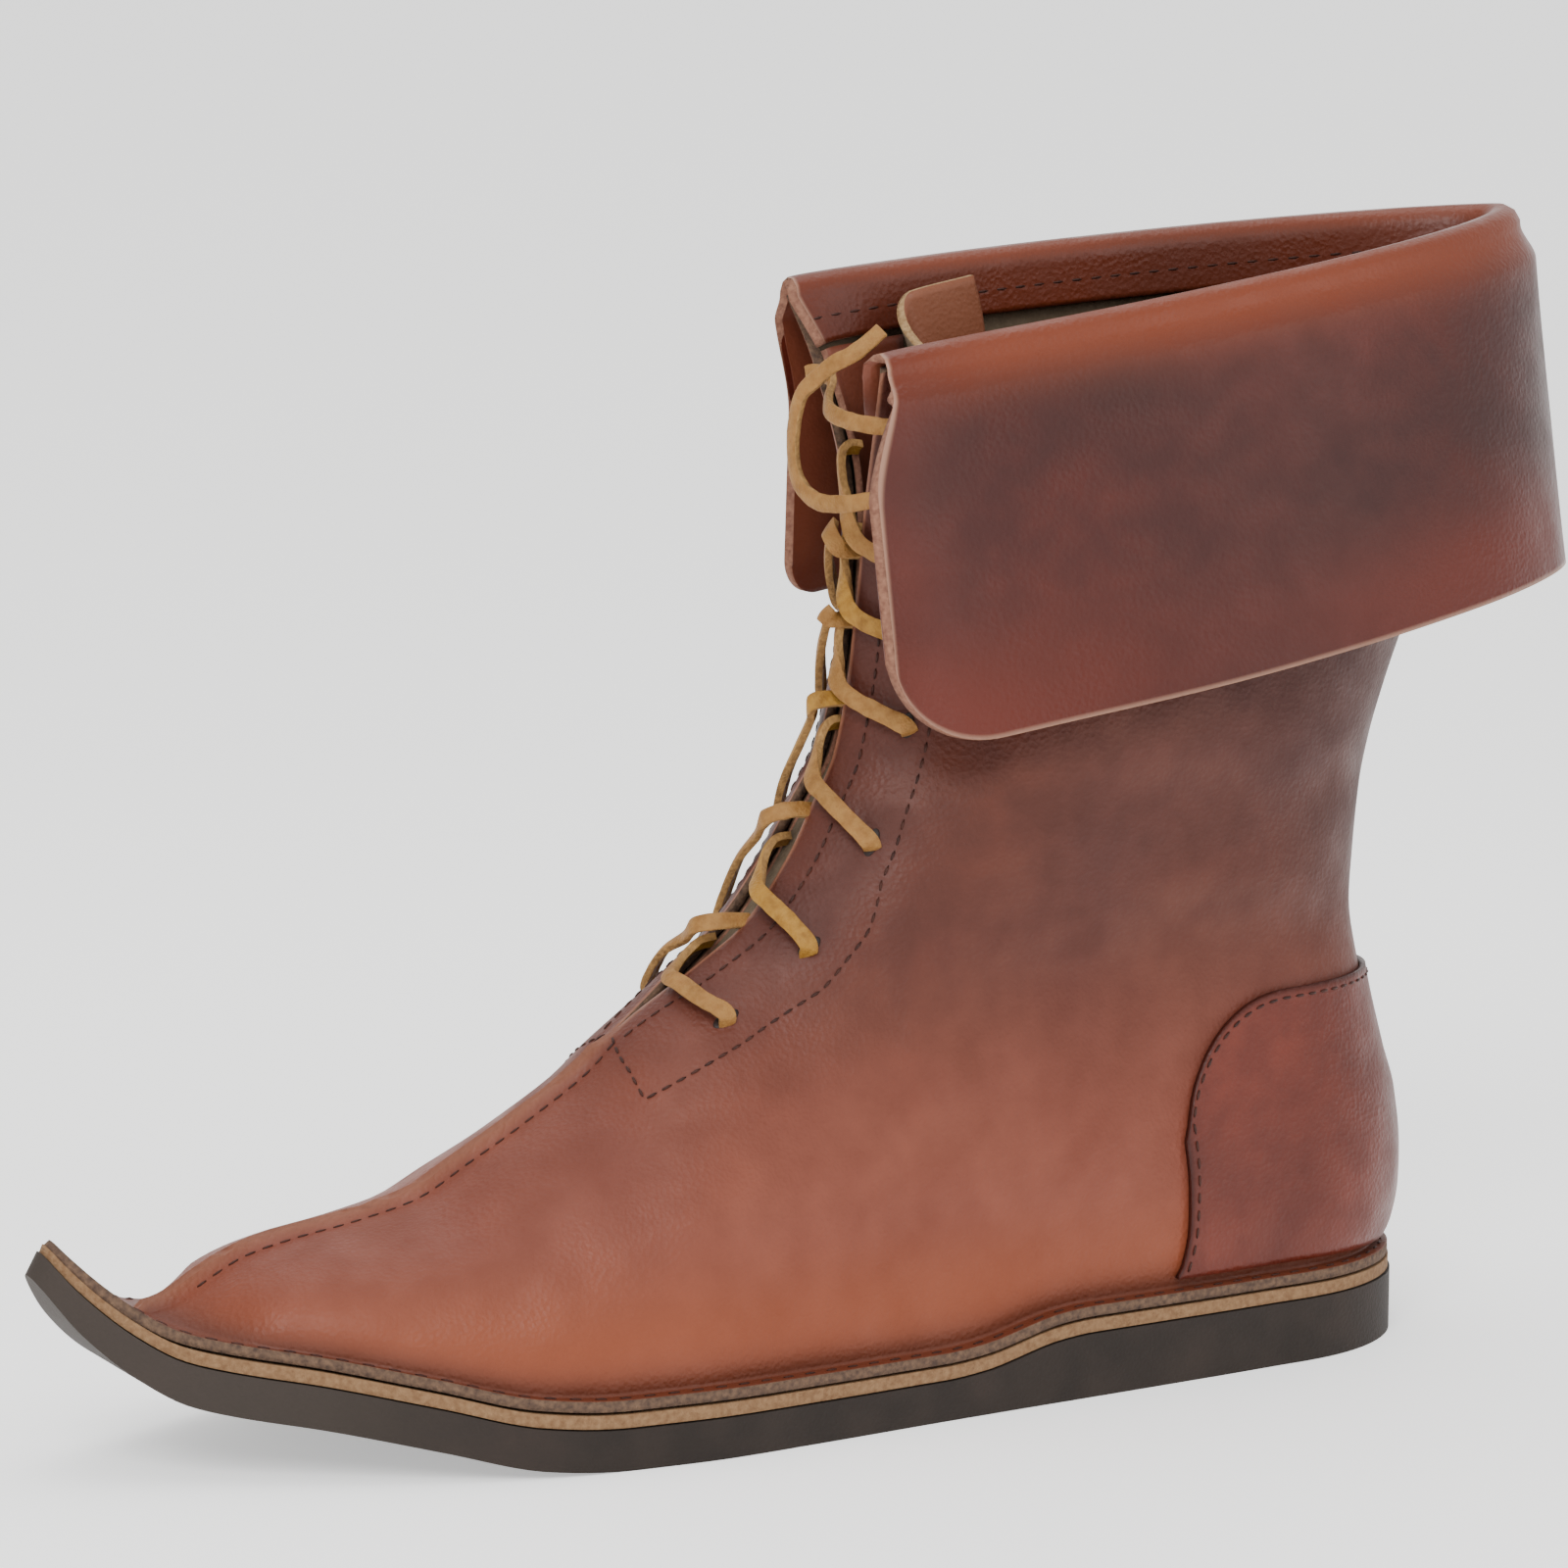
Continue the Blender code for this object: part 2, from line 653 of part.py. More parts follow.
def cuff_columns():
    """Places along the cuff: side, angle, distance from the nearer front edge, share from front to back. They
    hold the upper's own columns, so that the fold follows the edge that it lies over."""
    places = []
    for side in (LATERAL, MEDIAL):
        edge = last_point(1.0, math.pi, side)
        angles = set(front_columns()) | {math.pi}
        angles |= {angle_at(1.0, side, gap) for gap in CUFF_FRONT_COLUMNS}
        order = sorted(angles, reverse=side == LATERAL)
        for angle in order if side == LATERAL else order[1:]:
            front = (last_point(1.0, angle, side) - edge).length
            places.append((side, angle, front, (1 + math.cos(angle)) / 2))
    return places


def cuff_drop(side, front, reach):
    """How far the cuff hangs down, with its round front corner."""
    full = CUFF_DROP_LATERAL if side == LATERAL else CUFF_DROP_MEDIAL
    radius = CUFF_CORNER_LATERAL if side == LATERAL else CUFF_CORNER_MEDIAL
    drop = mix(full, CUFF_DROP_BACK, ease(0.25, 1.0, reach))
    if front < radius:
        drop -= radius - math.sqrt(radius ** 2 - (radius - front) ** 2)
    return drop


def cuff_column(place_on_ring, thickness):
    """The cuff's profile from the hem inside, over the top edge and down the outside."""
    side, angle, front, reach = place_on_ring
    column = []
    inside = WALL + CUFF_CLEARANCE + thickness
    hem_share = CUFF_HEM / SHAFT_RISE
    for i in range(3):
        column.append(skin(mix(1 - hem_share, 1.0, i / 2), angle, side, -inside))
    edge = skin(1.0, angle, side, 0.0)
    outward = skin(1.0, angle, side, 1.0) - edge
    outward.z = 0.0
    outward.normalize()
    sideways = Vector((outward.x * ease(0.0, 0.35, reach), outward.y, 0.0)).normalized()
    centre = edge - outward * WALL / 2
    radius = WALL / 2 + CUFF_CLEARANCE + thickness
    for i in range(1, CUFF_FOLD_STEPS):
        turn = math.pi * i / CUFF_FOLD_STEPS
        column.append(centre - outward * math.cos(turn) * radius + Vector((0, 0, math.sin(turn) * radius)))
    drop = cuff_drop(side, front, reach)
    near = math.exp(-front / CUFF_LEAN_LENGTH)
    lean = (CUFF_LEAN_LATERAL if side == LATERAL else CUFF_LEAN_MEDIAL) * near
    flare = mix(CUFF_FLARE_SIDE, CUFF_FLARE_BACK, reach ** 2) * (1 - (0.7 * near if side == MEDIAL else 0.0))
    for i in range(CUFF_HANG_STEPS + 1):
        q = (i / CUFF_HANG_STEPS) ** 1.25
        away = CUFF_CLEARANCE + thickness + CUFF_ROLL * ease(0.0, 0.10, q) + flare * q ** 1.15
        hang = outward.lerp(sideways, ease(0.0, 0.30, q))
        column.append(edge + hang * away + Vector((lean * ease(0.0, 0.45, q), 0.0, -drop * q)))
    return column


def cuff(material):
    places = cuff_columns()
    outer = [cuff_column(spot, CUFF_THICKNESS) for spot in places]
    inner = [cuff_column(spot, 0.0) for spot in places]
    return sheet("cuff", outer, inner, material)


# The thong's holes. height: as in the last's tables. gap: distance from the laced edge, as a share of
# the facing's width.
Hole = namedtuple("Hole", "height gap")
HOLES = (
    Hole(0.321, 0.82),
    Hole(0.384, 0.74),
    Hole(0.481, 0.67),
    Hole(0.595, 0.63),
    Hole(0.690, 0.60),
    Hole(0.775, 0.58),
    Hole(0.855, 0.56),
)
LACE_WIDTH = 0.0038
LACE_THICKNESS = 0.0016
LACE_LIFT = 0.0012
LACE_EDGE_RISE = 0.0005

# How a strand runs. own_edge and far_edge: where it crosses the two laced edges, as shares of the way up from
# its hole to the next. middle and end: how far it stands off the line between the edges. inset: how far short
# of the far edge it ends, in metres.
Strand = namedtuple("Strand", "own_edge far_edge middle end inset")
STRANDS = {
    LATERAL: Strand(0.47,0.88,0.0012,0.0010,0.0034),
    MEDIAL: Strand(0.92,1.20,0.0056,0.0034,0.0014),
}
LACE_STEPS = 3


def smooth_path(points, steps):
    """A curve through all the points."""
    path = []
    count = len(points)
    for i in range(count - 1):
        before, start = points[max(i - 1, 0)], points[i]
        finish, after = points[i + 1], points[min(i + 2, count - 1)]
        for k in range(steps):
            t = k / steps
            path.append(0.5 * (2 * start + (finish - before) * t
                               + (2 * before - 5 * start + 4 * finish - after) * t ** 2
                               + (3 * start - before - 3 * finish + after) * t ** 3))
    path.append(points[-1])
    return path


def thong(points, fronts, steps=LACE_STEPS):
    """A flat strip along a path, with the direction that its broad face looks given at each point."""
    path = smooth_path(points, steps)
    faces_to = smooth_path(fronts, steps)
    rows = []
    for i, point in enumerate(path):
        along = (path[min(i + 1, len(path) - 1)] - path[max(i - 1, 0)]).normalized()
        front = (faces_to[i] - along * faces_to[i].dot(along)).normalized()
        wide = along.cross(front) * LACE_WIDTH / 2
        thick = front * LACE_THICKNESS / 2
        rows.append([point - wide - thick, point + wide - thick, point + wide + thick, point - wide + thick])
    return rows


def crossing(number, side):
    """One strand: out of its hole, over its own edge, across the gap and down behind the other edge."""
    hole, above = HOLES[number], HOLES[number + 1]
    pitch = above.height - hole.height
    run = STRANDS[side]
    own = hole.height + run.own_edge * pitch
    other = hole.height + run.far_edge * pitch
    lift = LACE_LIFT + LACE_THICKNESS / 2
    start_angle = angle_at(hole.height, side, hole.gap * FACING_WIDTH)
    over_flap = []
    for share in (0.35, 0.70):
        height = mix(hole.height, own, share)
        over_flap.append((height, angle_at(height, side, hole.gap * FACING_WIDTH * (1 - share))))
    ahead = Vector((-0.9, 0.0, 0.45))
    edge = last_point(own, math.pi, side)
    far = last_point(other, math.pi, -side)
    middle = (edge + far) / 2 + ahead * run.middle
    room = max(abs(far.y) - run.inset, 0.0)
    points = [
        skin(hole.height, start_angle, side, lift),
        skin(*over_flap[0], side, lift + LACE_EDGE_RISE),
        skin(*over_flap[1], side, lift + LACE_EDGE_RISE),
        edge + ahead * (lift + LACE_EDGE_RISE) + Vector((0, side * 0.0010, 0)),
        middle,
        Vector((far.x, -side * room, far.z)) + ahead * run.end,
    ]
    fronts = [
        last_normal(hole.height, start_angle, side),
        last_normal(*over_flap[0], side),
        last_normal(*over_flap[1], side),
        (ahead + Vector((0, side * 0.5, 0))).normalized(),
        (ahead + Vector((0, -side * 0.4, 0))).normalized(),
        (ahead + Vector((0, -side * 0.5, 0))).normalized(),
    ]
    return thong(points, fronts)


def strand(name, rows, material):
    """A closed strip from its cross sections."""
    vertices = [point for row in rows for point in row]
    faces = []
    for i in range(0, len(vertices) - 4, 4):
        for k in range(4):
            m = (k + 1) % 4
            faces.append((i + k, i + m, i + 4 + m, i + 4 + k))
    last = len(vertices) - 4
    faces.append((0, 1, 2, 3))
    faces.append((last, last + 1, last + 2, last + 3))
    return collect(name, vertices, faces, material)


def lace_crossings(material):
    """The medial strand passes over the lateral one. At the top pair a free end takes the medial one's place."""
    for number in range(len(HOLES) - 1):
        strand(f"lace_{number + 1}_lateral", crossing(number, LATERAL), material)
        if number < len(HOLES) - 2:
            strand(f"lace_{number + 1}_medial", crossing(number, MEDIAL), material)


# The thong's two free ends, from under the cuff to their cut ends, as points in metres
LACE_END_LONG = (
    (-0.0896, -0.0168, 0.1870), (-0.0925, -0.0210, 0.1872), (-0.0975, -0.0235, 0.1875),
    (-0.1020, -0.0238, 0.1878), (-0.1062, -0.0215, 0.1875),
    (-0.1086, -0.0160, 0.1865), (-0.1105, -0.0080, 0.1864), (-0.1115, -0.0020, 0.1891),
    (-0.1122, 0.0000, 0.1935), (-0.1124, 0.0000, 0.2006), (-0.1113, -0.0010, 0.2077),
    (-0.1095, -0.0040, 0.2112), (-0.1075, -0.0080, 0.2145), (-0.1048, -0.0110, 0.2165),
    (-0.1015, -0.0120, 0.2190), (-0.0989, -0.0130, 0.2215),
)
LACE_END_SHORT = (
    (-0.0888, -0.0199, 0.2014), (-0.0925, -0.0224, 0.2015), (-0.0970, -0.0234, 0.2017),
    (-0.1020, -0.0224, 0.2022), (-0.1060, -0.0190, 0.2028),
    (-0.1076, -0.0130, 0.2036), (-0.1072, -0.0060, 0.2050), (-0.1045, -0.0005, 0.2070),
    (-0.1018, 0.0030, 0.2092), (-0.1008, 0.0052, 0.2110), (-0.1025, 0.0072, 0.2122),
    (-0.1050, 0.0086, 0.2116),
)
LACE_END_RADIUS = 0.0012


def lace_end(name, points, material):
    curve = bpy.data.curves.new(name, "CURVE")
    curve.dimensions = "3D"
    spline = curve.splines.new("POLY")
    spline.points.add(len(points) - 1)
    for knot, point in zip(spline.points, points):
        knot.co = (*point, 1.0)
    curve.bevel_depth = LACE_END_RADIUS
    curve.bevel_resolution = 2
    curve.use_fill_caps = True
    curve.materials.append(material)
    piece = bpy.data.objects.new(name, curve)
    bpy.context.collection.objects.link(piece)
    return piece


def main():
    for old in list(bpy.data.objects):
        bpy.data.objects.remove(old)
    lace = leather("lace_leather", (0.55, 0.32, 0.11), 0.6)
    outsole(leather("outsole_rubber", (0.043, 0.028, 0.020), 0.75))
    midsole(leather("midsole_leather", (0.48, 0.31, 0.19), 0.7))
    insole(leather("insole_leather", (0.30, 0.19, 0.11), 0.8))
    upper(leather("upper_leather", (0.27, 0.098, 0.058), 0.48))
    counter(leather("counter_leather", (0.20, 0.055, 0.030), 0.45))
    facing(LATERAL, "facing_lateral", leather("facing_lateral_leather", (0.22, 0.078, 0.045), 0.5))
    facing(MEDIAL, "facing_medial", leather("facing_medial_leather", (0.22, 0.078, 0.045), 0.5))
    tongue(leather("tongue_leather", (0.25, 0.10, 0.06), 0.55))
    cuff(leather("cuff_leather", (0.098, 0.028, 0.018), 0.42))
    lace_crossings(lace)
    lace_end("lace_end_long", LACE_END_LONG, lace)
    lace_end("lace_end_short", LACE_END_SHORT, lace)


main()
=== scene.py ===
"""Looks of the laced knight boot: its leather, stitches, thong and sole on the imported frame.

The leather pieces are laid on the same last as the solids, in metres: level rings that run from the heel's
back centre line round both sides to the front line. Grids are bent over it and given their thickness.
"""
import math
from collections import namedtuple

import bmesh
import bpy
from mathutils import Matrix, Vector, noise


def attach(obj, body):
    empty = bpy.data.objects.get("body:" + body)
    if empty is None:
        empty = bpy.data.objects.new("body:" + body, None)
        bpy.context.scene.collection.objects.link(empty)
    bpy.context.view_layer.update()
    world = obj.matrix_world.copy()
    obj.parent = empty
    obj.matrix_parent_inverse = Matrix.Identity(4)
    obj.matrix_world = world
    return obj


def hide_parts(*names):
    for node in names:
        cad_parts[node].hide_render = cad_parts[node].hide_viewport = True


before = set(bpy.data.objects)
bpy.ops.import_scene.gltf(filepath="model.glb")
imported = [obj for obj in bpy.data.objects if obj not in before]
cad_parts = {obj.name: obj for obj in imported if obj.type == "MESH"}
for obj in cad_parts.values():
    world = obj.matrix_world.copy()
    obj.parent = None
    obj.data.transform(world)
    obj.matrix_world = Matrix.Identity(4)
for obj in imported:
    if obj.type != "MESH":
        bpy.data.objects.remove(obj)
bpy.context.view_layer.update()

# Driving dimensions of the last
SOLE_LENGTH = 0.313
BALL_WIDTH = 0.0946
HEEL_WIDTH = 0.076
HEEL_BACK = 0.033
HEEL_ROUND_LENGTH = 0.044
SHAFT_RISE = 0.2135
BACK_RISE = 0.0145
CUFF_TILT = 0.0145
ANKLE_WIDTH = 0.064
TOP_WIDTH = 0.056

# Sole stack
OUTSOLE_THICKNESS = 0.0083
HEEL_LIFT = 0.0052
MIDSOLE_THICKNESS = 0.0030
TOE_SPRING = 0.0400
OUTSOLE_TIP_BACK = 0.0025
MIDSOLE_TIP_BACK = 0.0032
FLANGE_TIP_BACK = 0.0044

# Leather
WALL = 0.0022
FLANGE_THICKNESS = 0.0020
FLANGE_WIDTH = 0.0045
SEAM_HALF_WIDTH = 0.0021
SEAM_HEIGHT = 0.0018
FACING_THICKNESS = 0.0014
FACING_WIDTH = 0.025
TONGUE_THICKNESS = 0.0018
TONGUE_HALF_WIDTH = 0.036
COUNTER_THICKNESS = 0.0011
CUFF_THICKNESS = 0.0020
CUFF_HEM = 0.0100
CUFF_DROP_LATERAL = 0.0775
CUFF_DROP_MEDIAL = 0.065
CUFF_DROP_BACK = 0.0745
CUFF_CORNER_LATERAL = 0.022
CUFF_CORNER_MEDIAL = 0.010
CLEARANCE = 0.0003
LINING_CLEARANCE = 0.0007
FLANGE_CLEARANCE = 0.0008
THROAT_OPENING = 0.0400

LATERAL, MEDIAL = -1, 1

HEEL_HALF = HEEL_WIDTH / 2
BALL_HALF = BALL_WIDTH / 2

# Sole outline. reach: share of the sole's length from heel back to toe tip. centre: sideways shift as a share
# of half the ball width. heel and ball: how much of each half width the half outline takes.
Outline = namedtuple("Outline", "reach centre heel ball")
OUTLINE = [Outline(*row) for row in (
    (0.000, 0.000, 1.00, 0.000), (0.117, 0.000, 1.00, 0.000), (0.211, -0.030, 0.68, 0.271),
    (0.306, -0.070, 0.40, 0.501), (0.400, -0.085, 0.20, 0.690), (0.486, -0.078, 0.07, 0.850),
    (0.558, -0.062, 0.00, 0.962), (0.622, -0.036, 0.00, 1.000), (0.694, -0.004, 0.00, 0.998),
    (0.748, 0.021, 0.00, 0.938), (0.811, 0.053, 0.00, 0.790), (0.874, 0.078, 0.00, 0.590),
    (0.921, 0.098, 0.00, 0.422), (0.962, 0.118, 0.00, 0.272), (0.987, 0.132, 0.00, 0.165),
    (1.000, 0.140, 0.00, 0.125),
)]

# The sole's run along its length. spring: share of the toe spring. wedge: share of the heel lift.
Run = namedtuple("Run", "reach spring wedge")
RUN = [Run(*row) for row in (
    (0.000, 0.000, 1.00), (0.310, 0.000, 1.00), (0.335, 0.000, 0.90), (0.400, 0.000, 0.12),
    (0.430, 0.000, 0.00), (0.660, 0.000, 0.00), (0.720, 0.037, 0.00), (0.780, 0.152, 0.00),
    (0.845, 0.268, 0.00), (0.895, 0.336, 0.00), (0.920, 0.386, 0.00), (0.946, 0.507, 0.00),
    (0.977, 0.735, 0.00), (1.000, 1.000, 0.00),
)]

# Where the front seam ends and the laced opening starts, as a share of the shaft's rise
THROAT_HEIGHT = 0.303

# The front line, seen from the side. height: share of the shaft's rise. reach: as in the outline.
# opening: half the gap between the laced edges, as a share of half the throat opening at the top.
Front = namedtuple("Front", "height reach opening")
FRONT = [Front(*row) for row in (
    (0.000, 0.9291, 0.00), (0.018, 0.9099, 0.00), (0.045, 0.8886, 0.00), (0.072, 0.8633, 0.00),
    (0.093, 0.8309, 0.00), (0.117, 0.7893, 0.00), (0.147, 0.7478, 0.00), (0.185, 0.7124, 0.00),
    (0.226, 0.6708, 0.00), (0.270, 0.6263, 0.00), (THROAT_HEIGHT, 0.6026, 0.00), (0.368, 0.5432, 0.18),
    (0.402, 0.5135, 0.25), (0.465, 0.4792, 0.25), (0.501, 0.4648, 0.22), (0.570, 0.4399, 0.15),
    (0.678, 0.4258, 0.10), (0.807, 0.4207, 0.18), (0.931, 0.4278, 0.62), (1.000, 0.4359, 1.00),
)]
FLAP_NORMAL_BACK = 0.20

# The back line and the girth. reach: as in the outline, negative behind the heel. girth: the foot's half
# width against the sole's. shaft: half width against half the ankle width. top: how much of it is top width.
Back = namedtuple("Back", "height reach girth shaft top")
BACK = [Back(*row) for row in (
    (0.000, 0.0130, 1.000, 1.00, 0.0), (0.024, 0.0030, 1.020, 1.00, 0.0),
    (0.060, -0.0020, 1.030, 1.00, 0.0), (0.098, -0.0030, 1.020, 1.00, 0.0),
    (0.151, 0.0000, 0.990, 1.00, 0.0), (0.198, 0.0095, 0.950, 1.00, 0.0),
    (0.273, 0.0225, 0.890, 1.00, 0.0), (0.349, 0.0290, 0.850, 1.00, 0.0),
    (0.397, 0.0265, 0.840, 1.00, 0.0), (0.463, 0.0215, 0.840, 1.00, 0.0),
    (0.509, 0.0138, 0.840, 1.02, 0.0), (0.556, 0.0016, 0.840, 1.03, 0.1),
    (0.650, -0.0259, 0.840, 1.01, 0.3), (0.850, -0.0735, 0.840, 0.98, 0.8),
    (1.000, -0.1049, 0.840, 0.97, 1.0),
)]

# Height of the ridge over each reach, for the arch of the vamp's cross sections, carried on smoothly past
# the ankle, where the two side walls no longer meet.
Ridge = namedtuple("Ridge", "reach height")
RIDGE_BEHIND_THE_ANKLE = [Ridge(*row) for row in ((0.438, 0.60), (0.392, 0.86), (0.29, 1.5), (0.0, 3.0))]

def track(rows, key, value):
    """A smooth curve through two columns of a table, without overshoot between the rows."""
    pairs = sorted((getattr(row, key), getattr(row, value)) for row in rows)
    xs = [p[0] for p in pairs]
    ys = [p[1] for p in pairs]
    steps = [(ys[i + 1] - ys[i]) / (xs[i + 1] - xs[i]) for i in range(len(xs) - 1)]
    slopes = [steps[0]]
    for before, after in zip(steps, steps[1:]):
        slopes.append(0.0 if before * after <= 0 else 2 * before * after / (before + after))
    slopes.append(steps[-1])

    def at(x):
        x = min(max(x, xs[0]), xs[-1])
        i = 0
        while i < len(xs) - 2 and x > xs[i + 1]:
            i += 1
        width = xs[i + 1] - xs[i]
        t = (x - xs[i]) / width
        return (ys[i] * (1 + 2 * t) * (1 - t) ** 2 + ys[i + 1] * t * t * (3 - 2 * t)
                + width * (slopes[i] * t * (1 - t) ** 2 + slopes[i + 1] * t * t * (t - 1)))
    return at


def tracks(rows):
    """A curve for each of a table's columns over its first one."""
    first, *others = rows[0]._fields
    return [track(rows, first, value) for value in others]


outline_centre, outline_heel, outline_ball = tracks(OUTLINE)
run_spring, run_wedge = tracks(RUN)
front_reach, front_opening = tracks(FRONT)
back_reach, back_girth, shaft_width, shaft_top = tracks(BACK)
[ridge_height] = tracks([Ridge(row.reach, row.height) for row in FRONT if row.height < 0.6]
                        + RIDGE_BEHIND_THE_ANKLE)

HEEL_ROUND = HEEL_ROUND_LENGTH / SOLE_LENGTH
TOE_ROUND = 0.018


def ease(low, high, x):
    """0 below low, 1 above high, smooth between."""
    t = min(max((x - low) / (high - low), 0.0), 1.0)
    return t * t * (3 - 2 * t)


def mix(a, b, share):
    return a + (b - a) * share


def quarter(t):
    """The rise of a quarter circle, from 0 at t = 0 to 1 at t = 1."""
    t = min(max(t, 0.0), 1.0)
    return math.sqrt(1 - (1 - t) ** 2)


def place(reach):
    """X of a reach, which is 0 at the heel's back and 1 at the toe tip."""
    return HEEL_BACK - reach * SOLE_LENGTH


def reach_of(x):
    return (HEEL_BACK - x) / SOLE_LENGTH


def sole_half(reach, inset=0.0):
    """Half the sole's outline at a reach, without its rounded ends."""
    return outline_heel(reach) * HEEL_HALF + outline_ball(reach) * BALL_HALF - inset


def sole_edge(angle, side, inset=0.0, tip_back=0.0):
    """A point of the sole's outline: angle 0 is the heel's back, pi the toe tip."""
    s = (1 - math.cos(angle)) / 2
    own = min(max(s, 0.0), 1.0)
    ends = quarter(own / HEEL_ROUND) * quarter((1 - own) / TOE_ROUND)
    half = max(sole_half(own, inset), 0.0004) * ends
    start = inset / SOLE_LENGTH
    finish = 1 - (inset + tip_back) / SOLE_LENGTH
    reach = mix(start, finish, s)
    return place(reach), outline_centre(own) * BALL_HALF + side * half


def sole_floor(x):
    """Height of the outsole's bottom."""
    return TOE_SPRING * run_spring(reach_of(x))


def outsole_top(x):
    return sole_floor(x) + OUTSOLE_THICKNESS + HEEL_LIFT * run_wedge(reach_of(x))


def midsole_top(x):
    return outsole_top(x) + MIDSOLE_THICKNESS


def upper_base(x):
    """Height of the upper's out-turned flange, which lies on the midsole."""
    return midsole_top(x) + FLANGE_CLEARANCE


def top_edge(x, side):
    """Height of the shaft's top edge, higher at the back, and lower in front on the lateral side."""
    front = place(FRONT[-1].reach)
    back = place(BACK[-1].reach)
    share = min(max((x - front) / (back - front), 0.0), 1.0)
    level = upper_base(place(0.6)) + FLANGE_THICKNESS + SHAFT_RISE + BACK_RISE * share ** 0.8
    if side == LATERAL:
        level -= CUFF_TILT * (1 - share ** 1.3)
    return level


def last_point(height, angle, side):
    """A point of the upper's outer surface. height: 0 at the crease, 1 at the top edge. angle: 0 at the
    back line, pi at the front line."""
    s = (1 - math.cos(angle)) / 2
    reach = mix(back_reach(height), front_reach(height), s)
    x = place(reach)
    opening = front_opening(height) * THROAT_OPENING / 2

    crease = FLANGE_WIDTH
    crease_back = BACK[0].reach
    own = crease_back + (reach - back_reach(height) * (1 - s) - crease_back * s)
    own = min(max(own, 0.0), 1.0)
    foot_half = sole_half(own, crease) * back_girth(height)
    foot_half *= quarter((own - crease_back) / (HEEL_ROUND - crease_back))
    arch = min(height / max(ridge_height(reach), 1e-6), 1.0)
    tip = quarter((1 - s) / 0.06)
    foot_y = max(foot_half, 0.0005) * min((1 - arch ** 2.1) ** 0.52, tip)
    foot_centre = outline_centre(own) * BALL_HALF * (1 - ease(0.15, 0.6, height))

    widest = 0.46
    half = shaft_width(height) * mix(ANKLE_WIDTH, TOP_WIDTH, shaft_top(height)) / 2
    if s < widest:
        shaft_y = half * (1 - (1 - s / widest) ** 2.3) ** 0.55
    else:
        shaft_y = half * max(1 - ((s - widest) / (1 - widest)) ** 2.6, 0.0) ** 0.62
    blend = ease(0.30, 0.56, height)
    y = mix(foot_y, shaft_y, blend)
    if s > widest:
        y += opening * ((s - widest) / (1 - widest)) ** 2 * (1 - y / half)
    low = upper_base(x) + FLANGE_THICKNESS
    level = top_edge(max(x, place(FRONT[-1].reach)), MEDIAL)
    drop = (level - top_edge(max(x, place(FRONT[-1].reach)), side)) * ease(0.45, 1.0, height)
    return Vector((x, foot_centre + side * y, mix(low, level, height) - drop))


def last_normal(height, angle, side):
    """The outward normal of the upper's surface. A laced edge has the normal of the leather beside it."""
    step = 0.004
    angle = min(angle, math.pi - FLAP_NORMAL_BACK * ease(THROAT_HEIGHT, THROAT_HEIGHT + 0.05, height))
    up = last_point(min(height + step, 1.0), angle, side) - last_point(max(height - step, 0.0), angle, side)
    round_ = (last_point(height, min(angle + 0.02, math.pi), side)
              - last_point(height, max(angle - 0.02, 0.0), side))
    normal = up.cross(round_) * -side
    if angle <= 0.0 or (angle >= math.pi and height < THROAT_HEIGHT):
        normal.y = 0.0
    return normal.normalized()


def angle_at(height, side, gap):
    """The angle at which the ring lies a given distance from the front edge, measured across the throat."""
    edge = last_point(height, math.pi, side)
    low, high = math.pi / 2, math.pi
    for _ in range(24):
        middle = (low + high) / 2
        if (last_point(height, middle, side) - edge).length > gap:
            low = middle
        else:
            high = middle
    return (low + high) / 2


def skin(height, angle, side, out):
    """A point of the last moved outwards by a distance, or inwards where the distance is negative."""
    normal = last_normal(height, angle, side)
    normal.z *= 1 - ease(0.60, 0.90, height)
    normal.normalize()
    surface = last_point(height, angle, side)
    moved = surface + normal * out
    if out < 0 and angle > math.pi / 2:
        front = last_point(height, math.pi, side)
        least = max(moved.x - front.x, 0.0) * 0.12
        if height <= THROAT_HEIGHT and side * (moved.y - front.y) < least:
            moved.y = front.y + side * least
    return moved


def on_upper(height, gap, side, out=0.0):
    """The place on the upper at a distance from its front edge, measured in metres across the throat."""
    angle = angle_at(height, side, gap) if gap > 1e-5 else math.pi
    return skin(height, angle, side, out), last_normal(height, angle, side)


# The pieces

def add_object(name, data, location=(0.0, 0.0, 0.0)):
    item = bpy.data.objects.new(name, data)
    item.location = location
    bpy.context.collection.objects.link(item)
    return item


def new_piece(name, form, materials):
    """A finished form as a smooth object with its materials."""
    for face in form.faces:
        face.smooth = True
    mesh = bpy.data.meshes.new(name)
    form.to_mesh(mesh)
    form.free()
    for material in materials:
        mesh.materials.append(material)
    return add_object(name, mesh)


def soften(piece, width, angle, harden=False):
    """Rounds the edges that are sharper than an angle in degrees."""
    bevel = piece.modifiers.new("soften", "BEVEL")
    bevel.width = width
    bevel.segments = 2
    bevel.angle_limit = math.radians(angle)
    bevel.harden_normals = harden


def stretch(ball, spot, axes, halves):
    """Moves the points of a unit ball to a spot, with its own half size along each axis."""
    for vertex in ball:
        vertex.co = spot + sum((axis * c * half for axis, c, half in zip(axes, vertex.co, halves)), Vector())


